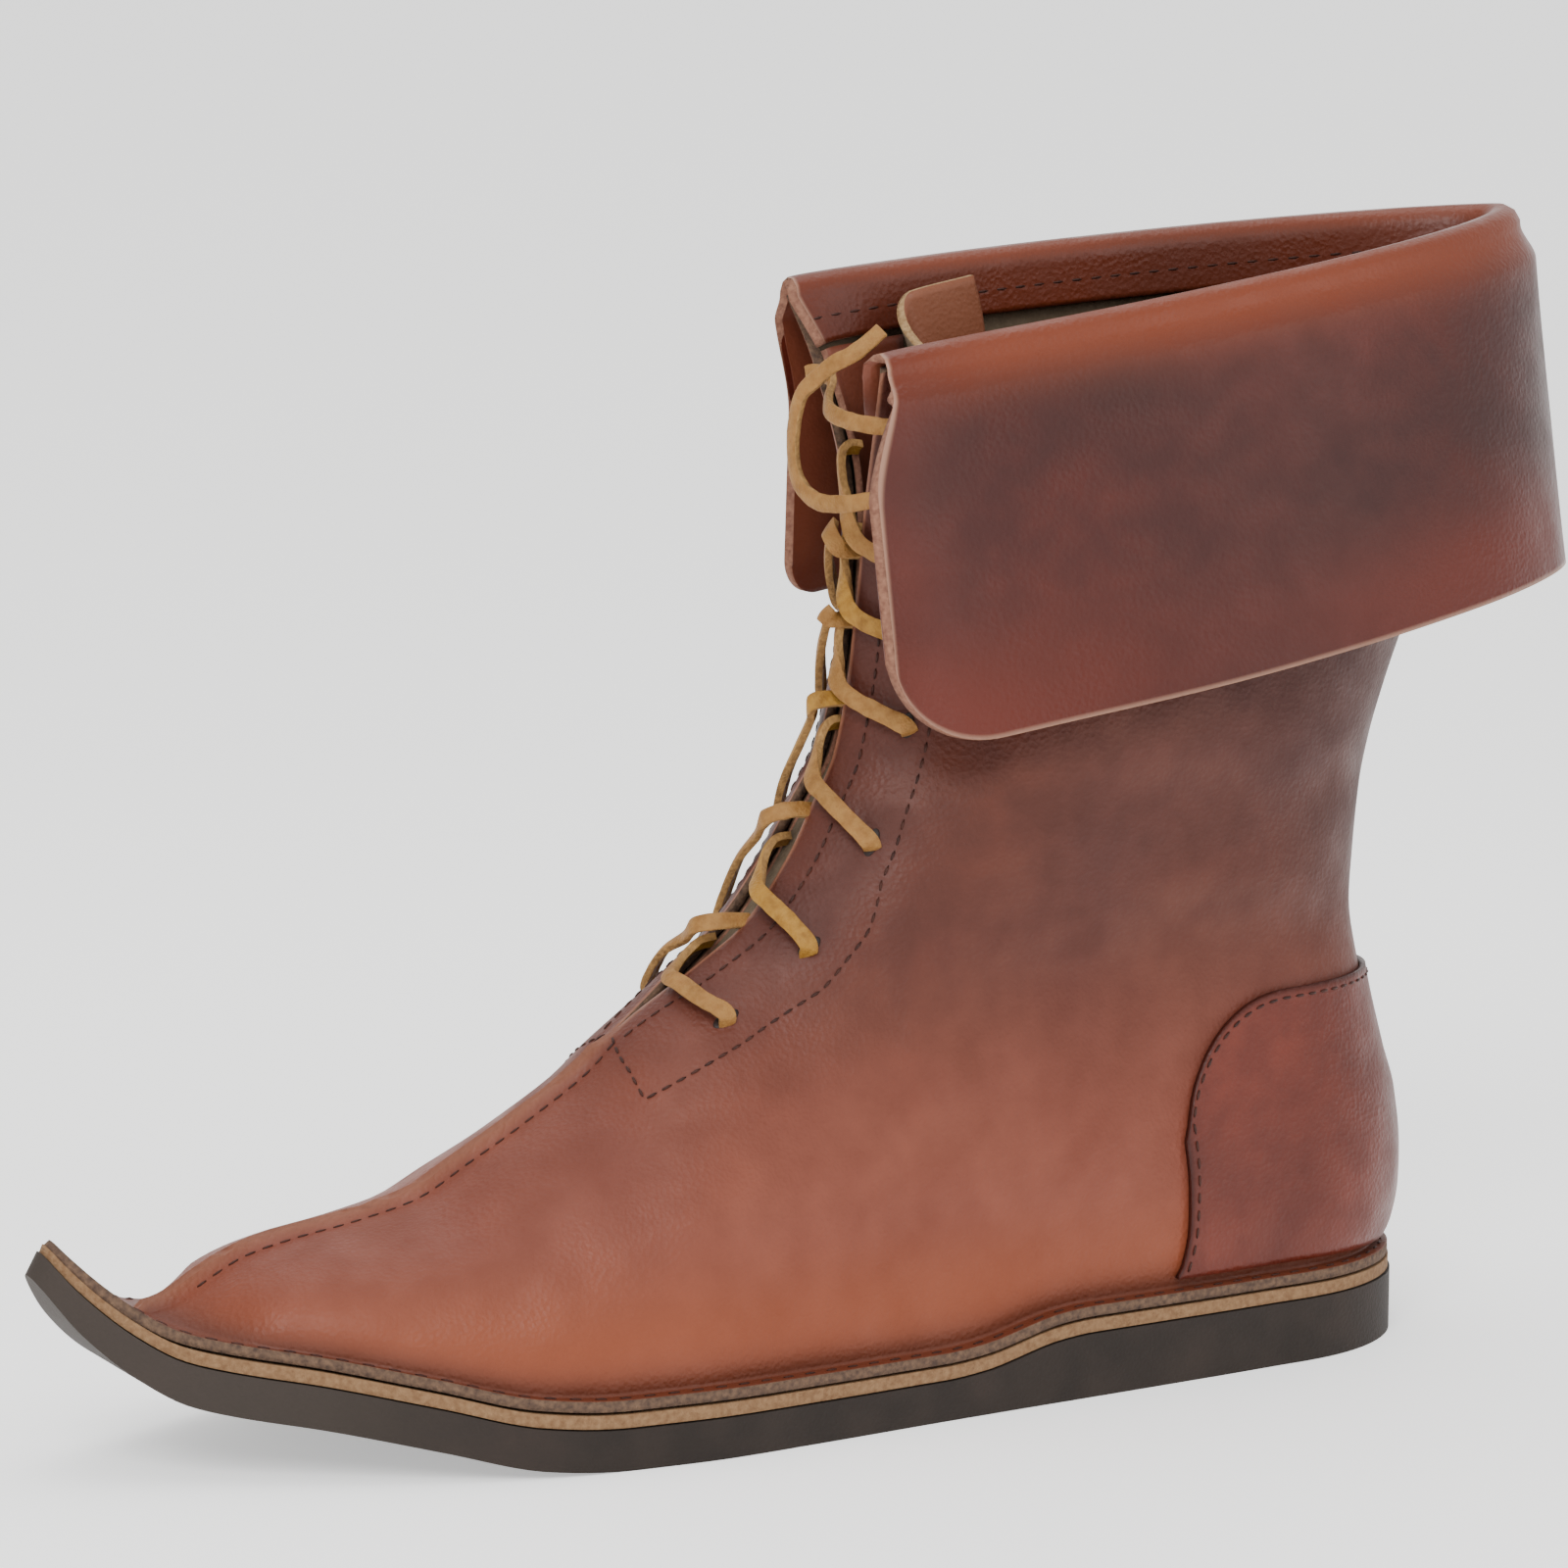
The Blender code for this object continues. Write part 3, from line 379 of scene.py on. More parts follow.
def grid_piece(name, columns, rows, shape, materials, thickness, values=None, weld=1e-5, turned=False):
    """A wall laid over a form. shape(u, v) is a point for u and v from 0 to 1, and values(u, v) the numbers
    that the material reads. The second material goes to the flesh side and the third to the cut edges. A
    turned grid has its grain side towards the other side of the form."""
    form = bmesh.new()
    form.loops.layers.uv.new("UVMap")
    layers = {}
    if values:
        for key in values(0.0, 0.0):
            layers[key] = form.verts.layers.float.new(key)
    bmesh.ops.create_grid(form, x_segments=columns, y_segments=rows, size=1.0, calc_uvs=True)
    for vertex in form.verts:
        u, v = (vertex.co.x + 1) / 2, (vertex.co.y + 1) / 2
        if values:
            for key, number in values(u, v).items():
                vertex[layers[key]] = number
        vertex.co = shape(u, v)
    if weld:
        bmesh.ops.remove_doubles(form, verts=form.verts, dist=weld)
        bmesh.ops.dissolve_degenerate(form, dist=1e-7, edges=form.edges)
    if turned:
        bmesh.ops.reverse_faces(form, faces=form.faces)
    piece = new_piece(name, form, materials)
    wall = piece.modifiers.new("wall", "SOLIDIFY")
    wall.thickness = thickness
    wall.offset = -1.0
    wall.use_even_offset = False
    wall.material_offset = 1
    wall.material_offset_rim = 2
    return piece


def settle(piece, *nodes, slot):
    """The piece rides on the only body and stands for its solids, if it has any."""
    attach(piece, "root")
    if nodes:
        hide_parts(*nodes)


# Materials

def linear(colour):
    """An sRGB hex colour in linear light."""
    parts = [int(colour[i:i + 2], 16) / 255 for i in (1, 3, 5)]
    return (*[c / 12.92 if c <= 0.04045 else ((c + 0.055) / 1.055) ** 2.4 for c in parts], 1.0)


def add_node(tree, kind, links=(), values=None, **settings):
    """Adds a node, sets its properties and inputs, and links (input, from node, output) triples to it."""
    node = tree.nodes.new(kind)
    for key, value in settings.items():
        setattr(node, key, value)
    for key, value in (values or {}).items():
        node.inputs[key].default_value = value
    for target, source, output in links:
        tree.links.new(source.outputs[output], node.inputs[target])
    return node


def blank_material(name, roughness):
    """A surface with a weak reflection, and the node that gives the place on the object."""
    material = bpy.data.materials.new(name)
    material.use_nodes = True
    tree = material.node_tree
    shader = tree.nodes["Principled BSDF"]
    for key, value in (("Roughness", roughness), ("IOR", 1.5), ("Specular IOR Level", 0.3)):
        shader.inputs[key].default_value = value
    return material, tree, shader, add_node(tree, "ShaderNodeTexCoord")


def blotch(tree, coords, size, detail=4.0, spread=(0.35, 0.65)):
    """Soft noise patches of a real size in metres, from 0 to 1."""
    patch = add_node(tree, "ShaderNodeTexNoise", [("Vector", coords, "Object")],
                     {"Scale": 1 / size, "Detail": detail})
    return add_node(tree, "ShaderNodeMapRange", [("Value", patch, "Fac")],
                    {"From Min": spread[0], "From Max": spread[1]})


def gradient(tree, axes, axis, low, high):
    """A value from 0 at low to 1 at high along an axis."""
    return add_node(tree, "ShaderNodeMapRange", [("Value", axes, axis)], {"From Min": low, "From Max": high},
                    interpolation_type="SMOOTHSTEP")


def attribute(tree, name):
    """A number that the grid carries at each point."""
    return add_node(tree, "ShaderNodeAttribute", attribute_name=name)


def lay_over(tree, base, *layers):
    """Colours laid over a base. A layer is a factor node, a hex colour or another mix, and an amount."""
    for factor, colour, amount in layers:
        scaled = add_node(tree, "ShaderNodeMath", [(0, factor, 0)], {1: amount}, operation="MULTIPLY",
                          use_clamp=True)
        mixer = add_node(tree, "ShaderNodeMix", [("Factor", scaled, 0)], data_type="RGBA")
        for socket, part in ((6, base), (7, colour)):
            if isinstance(part, str):
                mixer.inputs[socket].default_value = linear(part)
            else:
                tree.links.new(part.outputs[2], mixer.inputs[socket])
        base = mixer
    return base


def grain_bump(tree, shader, coords, grain_size, height, pebble=True):
    """Leather grain: small cells with a finer noise in them."""
    spot = [("Vector", coords, "Object")]
    cells = add_node(tree, "ShaderNodeTexVoronoi", spot, {"Scale": 1 / grain_size}, feature="F1")
    fine = add_node(tree, "ShaderNodeTexNoise", spot, {"Scale": 1 / (grain_size * 0.7), "Detail": 6.0})
    total = add_node(tree, "ShaderNodeMath", [(0, cells, "Distance"), (1, fine, "Fac")],
                     operation="ADD" if pebble else "MULTIPLY")
    bump = add_node(tree, "ShaderNodeBump", [("Height", total, 0)], {"Strength": 0.55, "Distance": height})
    tree.links.new(bump.outputs["Normal"], shader.inputs["Normal"])


def finish_leather(tree, shader, coords, base, patches, rough, grain):
    """The colour, a roughness that goes from one value to another with the patches, and the grain."""
    tree.links.new(base.outputs[2], shader.inputs["Base Color"])
    ramp = add_node(tree, "ShaderNodeMapRange", [("Value", patches, 0)],
                    {"To Min": rough[0], "To Max": rough[1]})
    tree.links.new(ramp.outputs[0], shader.inputs["Roughness"])
    grain_bump(tree, shader, coords, *grain)


def upper_grain():
    """Waxed pull-up leather, grain side out: paler and pinker over the foot, burnt dark up the shaft."""
    material, tree, shader, coords = blank_material("waxed_pull_up_leather", 0.45)
    axes = add_node(tree, "ShaderNodeSeparateXYZ", [("Vector", coords, "Object")])
    wide, small = blotch(tree, coords, 0.050), blotch(tree, coords, 0.012)
    foot = lay_over(tree, "#6E3423", (wide, "#7E4331", 1.0), (small, "#5C2A1B", 0.35),
                    (gradient(tree, axes, "Z", 0.045, 0.022), "#823E1C", 0.55))
    shaft = lay_over(tree, "#421A11", (wide, "#522619", 1.0), (small, "#30110C", 0.4))
    # This mask darkens the shaft as burnish, and paints shade along the foot of the upper and over its
    # flange.
    base = lay_over(tree, foot, (gradient(tree, axes, "Z", 0.035, 0.120), shaft, 1.0),
                    (attribute(tree, "burnish"), "#250E0C", 0.8), (attribute(tree, "edge"), "#8C5C46", 0.8))
    finish_leather(tree, shader, coords, base, small, (0.44, 0.60), (0.0011, 0.00022))
    return material


def counter_grain():
    """The same leather, rubbed redder over the heel."""
    material, tree, shader, coords = blank_material("waxed_heel_leather", 0.42)
    wide, small = blotch(tree, coords, 0.035), blotch(tree, coords, 0.009)
    # The edge mask darkens the counter's top and front edges: painted shadow along the overlaid edge.
    base = lay_over(tree, "#511C0F", (wide, "#66281A", 1.0), (small, "#3C130C", 0.4),
                    (attribute(tree, "edge"), "#2E100A", 0.75))
    finish_leather(tree, shader, coords, base, small, (0.36, 0.50), (0.0011, 0.00020))
    return material


def cuff_grain():
    """Oiled leather of the collar: nearly black brown in the middle, orange where the fold and edges wear;
    the fold's orange is partly a painted highlight.
    """
    material, tree, shader, coords = blank_material("oiled_collar_leather", 0.40)
    wide, small = blotch(tree, coords, 0.045), blotch(tree, coords, 0.011)
    # The fold mask: wear along the rolled top, with a painted highlight on it.
    base = lay_over(tree, "#30100B", (wide, "#461810", 1.0), (small, "#280B09", 0.45),
                    (attribute(tree, "glow"), "#561D10", 0.9), (attribute(tree, "fold"), "#70321A", 0.9),
                    (attribute(tree, "edge"), "#96705C", 0.9))
    finish_leather(tree, shader, coords, base, small, (0.34, 0.48), (0.0012, 0.00018))
    return material


def moulded_rubber():
    """Matt moulded rubber, a little dusty and browner at the toe."""
    material, tree, shader, coords = blank_material("moulded_rubber", 0.7)
    axes = add_node(tree, "ShaderNodeSeparateXYZ", [("Vector", coords, "Object")])
    base = lay_over(tree, "#1E1611", (blotch(tree, coords, 0.015), "#281E18", 1.0),
                    (gradient(tree, axes, "X", -0.17, -0.27), "#38302A", 0.7))
    tree.links.new(base.outputs[2], shader.inputs["Base Color"])
    grain_bump(tree, shader, coords, 0.0009, 0.00018)
    return material


def mottled(name, roughness, base, layers, grain=()):
    """A colour with others over it in patches. A layer is a patch size in metres, a colour, an amount and, if
    it isn't the usual noise, its detail and spread."""
    material, tree, shader, coords = blank_material(name, roughness)
    for size, colour, amount, *other in layers:
        base = lay_over(tree, base, (blotch(tree, coords, size, *other), colour, amount))
    tree.links.new(base.outputs[2], shader.inputs["Base Color"])
    if grain:
        grain_bump(tree, shader, coords, *grain)
    return material


def smooth_grain(name, first, second):
    """Thinner smooth leather of the tongue and the strips inside."""
    return mottled(name, 0.5, first, [(0.020, second, 1.0)], (0.0010, 0.00012))


def suede(name, first, second):
    """Flesh side: matt, with a short nap."""
    return mottled(name, 0.95, first, [(0.0022, second, 1.0, 8.0, (0.3, 0.7)), (0.025, first, 0.5)],
                   (0.0008, 0.00035, False))


def cut_edge(name, first, second):
    """The fibrous cut edge of leather."""
    return mottled(name, 0.85, first, [(0.0012, second, 1.0, 5.0, (0.3, 0.7))], (0.0007, 0.0003))


def waxed_thread():
    """Dark waxed linen thread."""
    return mottled("waxed_thread", 0.6, "#2A0F07", [(0.004, "#3A180C", 1.0)])


def rawhide(name, first, second, third):
    """Tan thong leather, mottled by handling."""
    return mottled(name, 0.62, first, [(0.006, second, 1.0), (0.0018, third, 0.5)], (0.0006, 0.00025))


# The leather pieces

def soft_dent(x, y, z, centre, reach, depth):
    """A soft trough: depth at its centre, nothing beyond its reach."""
    away = sum(((a - b) / r) ** 2 for a, b, r in zip((x, y, z), centre, reach))
    return depth * math.exp(-away * 1.8)


# Creases, given one by one. centre and reach in metres; depth is negative for a trough.
Crease = namedtuple("Crease", "centre reach depth")
CREASES = [Crease(*row) for row in (
    ((-0.100, -0.040, 0.034), (0.040, 0.020, 0.016), -0.0022),
    ((-0.098, -0.028, 0.070), (0.030, 0.020, 0.012), 0.0012),
    ((-0.060, -0.034, 0.088), (0.026, 0.020, 0.010), -0.0014),
    ((-0.030, -0.030, 0.104), (0.030, 0.020, 0.008), 0.0011),
    ((0.004, -0.026, 0.092), (0.026, 0.020, 0.010), -0.0013),
    ((-0.046, -0.030, 0.126), (0.034, 0.020, 0.010), -0.0010),
    ((-0.150, -0.030, 0.046), (0.022, 0.020, 0.012), 0.0010),
    ((-0.188, -0.034, 0.032), (0.020, 0.014, 0.010), -0.0009),
    ((-0.066, 0.032, 0.086), (0.030, 0.020, 0.011), -0.0014),
    ((-0.020, 0.029, 0.103), (0.030, 0.020, 0.010), -0.0011),
    ((-0.100, 0.040, 0.036), (0.036, 0.020, 0.016), -0.0020),
)]


def relief(point):
    """How far creases and the leather's slight unevenness move the surface along its normal."""
    move = sum(soft_dent(point.x, point.y, point.z, c.centre, c.reach, c.depth) for c in CREASES)
    return move + 0.0005 * noise.noise(point * 38.0)


FLANGE_SHARE = 0.06
FLANGE_INSET = 0.0006
SEAM_GROOVE = 0.0009
SEAM_GROOVE_WIDTH = 0.0005


def upper_place(u, v):
    """Side, angle, height and share of the flange for a place on the upper's grid."""
    side = LATERAL if u < 0.5 else MEDIAL
    angle = math.pi * abs(2 * u - 1)
    if v < FLANGE_SHARE:
        return side, angle, 0.0, 1 - v / FLANGE_SHARE
    rise = (v - FLANGE_SHARE) / (1 - FLANGE_SHARE)
    height = mix(rise ** 1.35, rise, 0.45)
    if abs(THROAT_HEIGHT - height) < 0.004:
        height = THROAT_HEIGHT
    return side, angle, height, 0.0


def crease_fade(height, gap):
    """Creases fade out towards the flange and the front edge."""
    return ease(0.0, 0.03, height) * ease(0.0, 0.006, gap)


def upper_shape(u, v):
    side, angle, height, flange = upper_place(u, v)
    if flange:
        x, y = sole_edge(angle, side, FLANGE_INSET, FLANGE_TIP_BACK)
        edge = Vector((x, y, upper_base(x) + FLANGE_THICKNESS))
        crease = last_point(0.0, angle, side)
        spot = crease.lerp(edge, flange)
        spot.z = upper_base(spot.x) + FLANGE_THICKNESS
        return spot
    spot = last_point(height, angle, side)
    edge = last_point(height, math.pi, side)
    away = (spot - edge).length
    seam = SEAM_HEIGHT * (1 - ease(THROAT_HEIGHT - 0.02, THROAT_HEIGHT, height))
    ridge = seam * (1 - ease(SEAM_HALF_WIDTH * 0.75, SEAM_HALF_WIDTH * 1.15, away))
    groove = SEAM_GROOVE * seam / SEAM_HEIGHT * math.exp(-(away / SEAM_GROOVE_WIDTH) ** 2)
    fade = crease_fade(height, away)
    if angle == 0.0:
        fade = 0.0
    return skin(height, angle, side, ridge - groove + relief(spot) * fade)


def upper_values(u, v):
    """Paler cut edges and a darker shaft, burnt most towards the front."""
    side, angle, height, flange = upper_place(u, v)
    spot = last_point(height, angle, side)
    away = (spot - last_point(height, math.pi, side)).length
    open_front = ease(THROAT_HEIGHT - 0.01, THROAT_HEIGHT + 0.01, height)
    edge = (1 - ease(0.0004, 0.0012, away)) * open_front
    edge = max(edge, (1 - ease(0.0010, 0.0026, away)) * 0.75 * (1 - open_front))
    back = math.exp(-(max(spot.x + 0.03, 0) / 0.05) ** 2) * ease(0.22, 0.5, height)
    # Near-black along the foot of the upper and over the flange: painted shade where the upper meets the
    # sole.
    crease = math.exp(-(height / 0.02) ** 2) * 0.7 if not flange else 0.55
    return {"edge": edge, "burnish": max(min(0.55 * (1 - back) * ease(0.25, 0.45, height), 1.0), crease)}


def make_upper(grain, flesh, raw):
    piece = grid_piece("upper_leather", 250, 120, upper_shape, [grain, flesh, raw], WALL,
                       values=upper_values)
    settle(piece, "upper", slot="upper_leather")


COUNTER_FRONT_REACH = 0.229
COUNTER_TOP_HEIGHT = 0.279
COUNTER_CORNER = 0.40
COUNTER_FALL = 0.48
COUNTER_FOOT_HEIGHT = 0.012
COUNTER_ROUND_ANGLE = math.pi / 24 * 7
COUNTER_ROUND_PART = 0.64
COUNTER_WALL = COUNTER_THICKNESS + 0.0002


def counter_top(along):
    """Height of the counter's top edge, which falls in a round corner to its front edge."""
    corner = max(along - (1 - COUNTER_CORNER), 0.0) / COUNTER_CORNER
    return COUNTER_TOP_HEIGHT * (1 - COUNTER_FALL * corner ** 2.4)


def counter_place(u, v):
    side = LATERAL if u < 0.5 else MEDIAL
    along = abs(2 * u - 1)
    height = mix(COUNTER_FOOT_HEIGHT, counter_top(along), v)
    share = COUNTER_FRONT_REACH / (front_reach(height) - back_reach(height))
    front = math.acos(1 - 2 * share)
    if along <= COUNTER_ROUND_PART:
        angle = COUNTER_ROUND_ANGLE * along / COUNTER_ROUND_PART
    else:
        angle = mix(COUNTER_ROUND_ANGLE, front, (along - COUNTER_ROUND_PART) / (1 - COUNTER_ROUND_PART))
    return side, angle, height


def counter_shape(u, v):
    side, angle, height = counter_place(u, v)
    return skin(height, angle, side, CLEARANCE + COUNTER_WALL + relief(last_point(height, angle, side)) * 0.6)


def make_counter(grain, flesh):
    def values(u, v):
        along = abs(2 * u - 1)
        # Near 1 at the top and front edges, where the counter is darkened: painted shadow along its edge.
        return {"edge": max(ease(0.975, 0.995, along), ease(0.975, 0.995, v))}

    piece = grid_piece("counter_leather", 110, 44, counter_shape, [grain, flesh, grain], COUNTER_WALL,
                       values=values)
    settle(piece, "counter", slot="counter_leather")


FACING_BOTTOM = 0.335
FACING_TOP = 0.945
FACING_FULL_HEIGHT = 0.455


def make_facing(side, node, grain, flesh, raw):
    def shape(u, v):
        height = mix(FACING_BOTTOM, FACING_TOP, v)
        narrow = mix(0.55, 1.0, ease(FACING_BOTTOM, FACING_FULL_HEIGHT, height))
        gap = mix(0.0006, FACING_WIDTH, u) * narrow
        return skin(height, angle_at(height, side, gap), side, -(WALL + LINING_CLEARANCE))

    def values(u, v):
        return {"edge": 1 - ease(0.01, 0.05, u)}

    piece = grid_piece(node + "_leather", 10, 70, shape, [flesh, grain, raw], FACING_THICKNESS,
                       values=values, turned=side == MEDIAL)
    settle(piece, node, slot="facing_leather")


CUFF_CLEARANCE = 0.0009
CUFF_ROLL = 0.0030
CUFF_FLARE_SIDE = 0.0105
CUFF_FLARE_BACK = 0.0095
CUFF_LEAN_LATERAL = -0.0062
CUFF_LEAN_MEDIAL = 0.0045
CUFF_LEAN_LENGTH = 0.022
# Shares of the cuff's grid at which its hem and its fold end
HEM_PART, FOLD_PART = 0.10, 0.16


def cuff_drop(side, front, reach):
    """How far the cuff hangs down, with its round front corner."""
    full = CUFF_DROP_LATERAL if side == LATERAL else CUFF_DROP_MEDIAL
    radius = CUFF_CORNER_LATERAL if side == LATERAL else CUFF_CORNER_MEDIAL
    drop = mix(full, CUFF_DROP_BACK, ease(0.25, 1.0, reach))
    if front < radius:
        drop -= radius - math.sqrt(radius ** 2 - (radius - front) ** 2)
    return drop


def cuff_place(u):
    """Side, angle, distance from the front edge and share of the way back."""
    side = LATERAL if u < 0.5 else MEDIAL
    angle = math.pi * abs(2 * u - 1)
    front = (last_point(1.0, angle, side) - last_point(1.0, math.pi, side)).length
    return side, angle, front, (1 + math.cos(angle)) / 2


def cuff_shape(u, v):
    """The collar's outer face: up its hem inside, over the top edge and down the outside."""
    side, angle, front, reach = cuff_place(u)
    inside = WALL + CUFF_CLEARANCE + CUFF_THICKNESS
    if v < HEM_PART:
        return skin(mix(1 - CUFF_HEM / SHAFT_RISE, 1.0, v / HEM_PART), angle, side, -inside)
    edge = skin(1.0, angle, side, 0.0)
    outward = skin(1.0, angle, side, 1.0) - edge
    outward.z = 0.0
    outward.normalize()
    sideways = Vector((outward.x * ease(0.0, 0.35, reach), outward.y, 0.0)).normalized()
    radius = WALL / 2 + CUFF_CLEARANCE + CUFF_THICKNESS
    if v < FOLD_PART:
        turn = math.pi * (v - HEM_PART) / (FOLD_PART - HEM_PART)
        centre = edge - outward * WALL / 2
        return centre - outward * math.cos(turn) * radius + Vector((0, 0, math.sin(turn) * radius))
    q = ((v - FOLD_PART) / (1 - FOLD_PART)) ** 1.12
    near = math.exp(-front / CUFF_LEAN_LENGTH)
    lean = (CUFF_LEAN_LATERAL if side == LATERAL else CUFF_LEAN_MEDIAL) * near
    flare = mix(CUFF_FLARE_SIDE, CUFF_FLARE_BACK, reach ** 2) * (1 - (0.7 * near if side == MEDIAL else 0.0))
    away = CUFF_CLEARANCE + CUFF_THICKNESS + CUFF_ROLL * ease(0.0, 0.10, q) + flare * q ** 1.15
    hang = outward.lerp(sideways, ease(0.0, 0.30, q))
    spot = edge + hang * away + Vector((lean * ease(0.0, 0.45, q), 0.0, -cuff_drop(side, front, reach) * q))
    wave = 0.0009 * math.sin(spot.x * 46 + 1.2) * q + 0.0006 * noise.noise(spot * 26.0) * q
    return spot + hang * wave


def cuff_values(u, v):
    """Pale cut edges, a worn orange fold that also carries a painted highlight, and a redder lower part."""
    side, angle, front, reach = cuff_place(u)
    q = max((v - FOLD_PART) / (1 - FOLD_PART), 0.0)
    to_bottom = cuff_drop(side, front, reach) * (1 - q)
    edge = max(1 - ease(0.0003, 0.0012, front), 1 - ease(0.0003, 0.0010, to_bottom))
    # The fold mark: the fold's wear, with a painted highlight on the rolled top.
    fold = math.exp(-(q / 0.13) ** 2) if v >= HEM_PART else 0.65
    glow = max(0.85 * ease(0.55, 1.0, q), 0.6 * math.exp(-(front / 0.012) ** 2))
    return {"edge": edge, "fold": fold * (0.75 + 0.5 * noise.noise(Vector((u * 7, v * 3, 2.0)))),
            "glow": glow * (0.8 + 0.9 * noise.noise(Vector((u * 6, v * 4, 5.0))))}


def make_cuff(grain, flesh, raw):
    piece = grid_piece("cuff_leather", 230, 90, cuff_shape, [grain, flesh, raw], CUFF_THICKNESS,
                       values=cuff_values, turned=True)
    settle(piece, "cuff", slot="cuff_leather")


TONGUE_BOTTOM = 0.255
TONGUE_LEAN = 0.020
TONGUE_TOP_ROOM = 0.0028
TONGUE_BRIDGE = 0.006
TONGUE_COLUMNS = 10


def tongue_row(height, depth):
    """Points across the tongue: along the inside of both strips and bridged between the laced edges."""
    def wall(side, gap):
        return skin(height, angle_at(height, side, gap), side, -depth)

    reaches = [mix(TONGUE_BRIDGE, TONGUE_HALF_WIDTH, i / TONGUE_COLUMNS) for i in range(TONGUE_COLUMNS + 1)]
    lateral = [wall(LATERAL, gap) for gap in reversed(reaches)]
    medial = [wall(MEDIAL, gap) for gap in reaches]
    start, finish = lateral[-1], medial[0]
    pull = (finish - start).length
    leave = (start - lateral[-2]).normalized() * pull * 0.8
    arrive = (medial[1] - finish).normalized() * pull * 0.8
    bridge = []
    for i in range(1, TONGUE_COLUMNS):
        t = i / TONGUE_COLUMNS
        bridge.append(start * (1 + 2 * t) * (1 - t) ** 2 + finish * t * t * (3 - 2 * t)
                      + leave * t * (1 - t) ** 2 + arrive * t * t * (t - 1))
    row = lateral + bridge + medial
    away = ease(0.66, 1.0, height)
    middle = row[len(lateral) + len(bridge) // 2]
    turned = []
    for i, point in enumerate(row):
        across = i / (len(row) - 1)
        lean = TONGUE_LEAN * away * ease(0.0, 0.45, across)
        fold = away * ease(0.30, 0.75, across)
        y = mix(point.y, middle.y + (point.y - middle.y) * 0.22 + 0.004, fold)
        x = point.x + lean + 0.004 * away * ease(0.7, 1.0, across)
        turned.append(Vector((mix(x, middle.x + lean + (x - middle.x - lean) * 0.45, fold), y, point.z)))
    return turned


def make_tongue(grain, flesh, raw):
    gap = WALL + FACING_THICKNESS + 2 * LINING_CLEARANCE
    rows = {}

    def shape(u, v):
        height = round(mix(TONGUE_BOTTOM, 1.0, v), 5)
        if height not in rows:
            rows[height] = tongue_row(height, gap + TONGUE_TOP_ROOM * ease(0.84, 0.94, height))
        row = rows[height]
        place_along = u * (len(row) - 1)
        i = min(int(place_along), len(row) - 2)
        return row[i].lerp(row[i + 1], place_along - i)

    def values(u, v):
        return {"edge": max(ease(0.985, 0.998, u), ease(0.985, 0.997, v))}

    piece = grid_piece("tongue_leather", 64, 90, shape, [grain, flesh, raw], TONGUE_THICKNESS, values=values)
    settle(piece, "tongue", slot="tongue_leather")


# The sole

def make_plate(name, top, bottom, inset, tip_back, tip_drawn, material, node, slot, bevel):
    """A sole layer: a grid over its outline, extruded down to its underside, with softened edges. Its top
    ends short of the toe tip, and its underside is drawn forward again."""
    plate = bmesh.new()
    bmesh.ops.create_grid(plate, x_segments=150, y_segments=14, size=1.0)
    for vertex in plate.verts:
        angle = math.pi * (vertex.co.x + 1) / 2
        x, lateral = sole_edge(angle, LATERAL, inset, tip_back)
        medial = sole_edge(angle, MEDIAL, inset, tip_back)[1]
        vertex.co = Vector((x, mix(lateral, medial, (vertex.co.y + 1) / 2), top(x)))
    below = bmesh.ops.extrude_face_region(plate, geom=plate.faces[:])
    for vertex in (item for item in below["geom"] if isinstance(item, bmesh.types.BMVert)):
        vertex.co.x -= tip_drawn * reach_of(vertex.co.x)
        vertex.co.z = bottom(vertex.co.x)
    bmesh.ops.remove_doubles(plate, verts=plate.verts, dist=1e-5)
    bmesh.ops.recalc_face_normals(plate, faces=plate.faces)
    piece = new_piece(name, plate, [material])
    soften(piece, bevel, 50, harden=True)
    settle(piece, node, slot=slot)


# Stitches

THREAD_WIDTH = 0.0007
THREAD_HEIGHT = 0.0006


def stitch_rows(name, lines, material, slot, length=0.0027):
    """Threads along lines of (point, normal) pairs: one small bead a stitch, at a regular pitch."""
    thread = bmesh.new()
    for line, pitch in lines:
        travelled, due = 0.0, pitch / 2
        for (start, normal), (finish, _) in zip(line, line[1:]):
            step = (finish - start).length
            while due <= travelled + step and step > 0:
                spot = start.lerp(finish, (due - travelled) / step)
                along = (finish - start).normalized()
                up = (normal - along * normal.dot(along)).normalized()
                across = up.cross(along)
                bead = bmesh.ops.create_icosphere(thread, subdivisions=1, radius=1.0)["verts"]
                stretch(bead, spot + up * THREAD_HEIGHT * 0.1, (along, across, up),
                        (length / 2, THREAD_WIDTH / 2, THREAD_HEIGHT / 2))
                due += pitch
            travelled += step
    settle(new_piece(name, thread, [material]), slot=slot)


def surface_line(marks, side, steps=16):
    """A line on the upper through marks of (height, gap)."""
    line = []
    for (h0, g0), (h1, g1) in zip(marks, marks[1:]):
        for i in range(steps):
            t = i / steps
            line.append(stitched_place(mix(h0, h1, t), mix(g0, g1, t), side))
    line.append(stitched_place(*marks[-1], side))
    return line


def stitched_place(height, gap, side):
    """A place on the creased upper, and its normal."""
    spot, normal = on_upper(height, gap, side)
    return spot + normal * relief(spot) * crease_fade(height, gap), normal


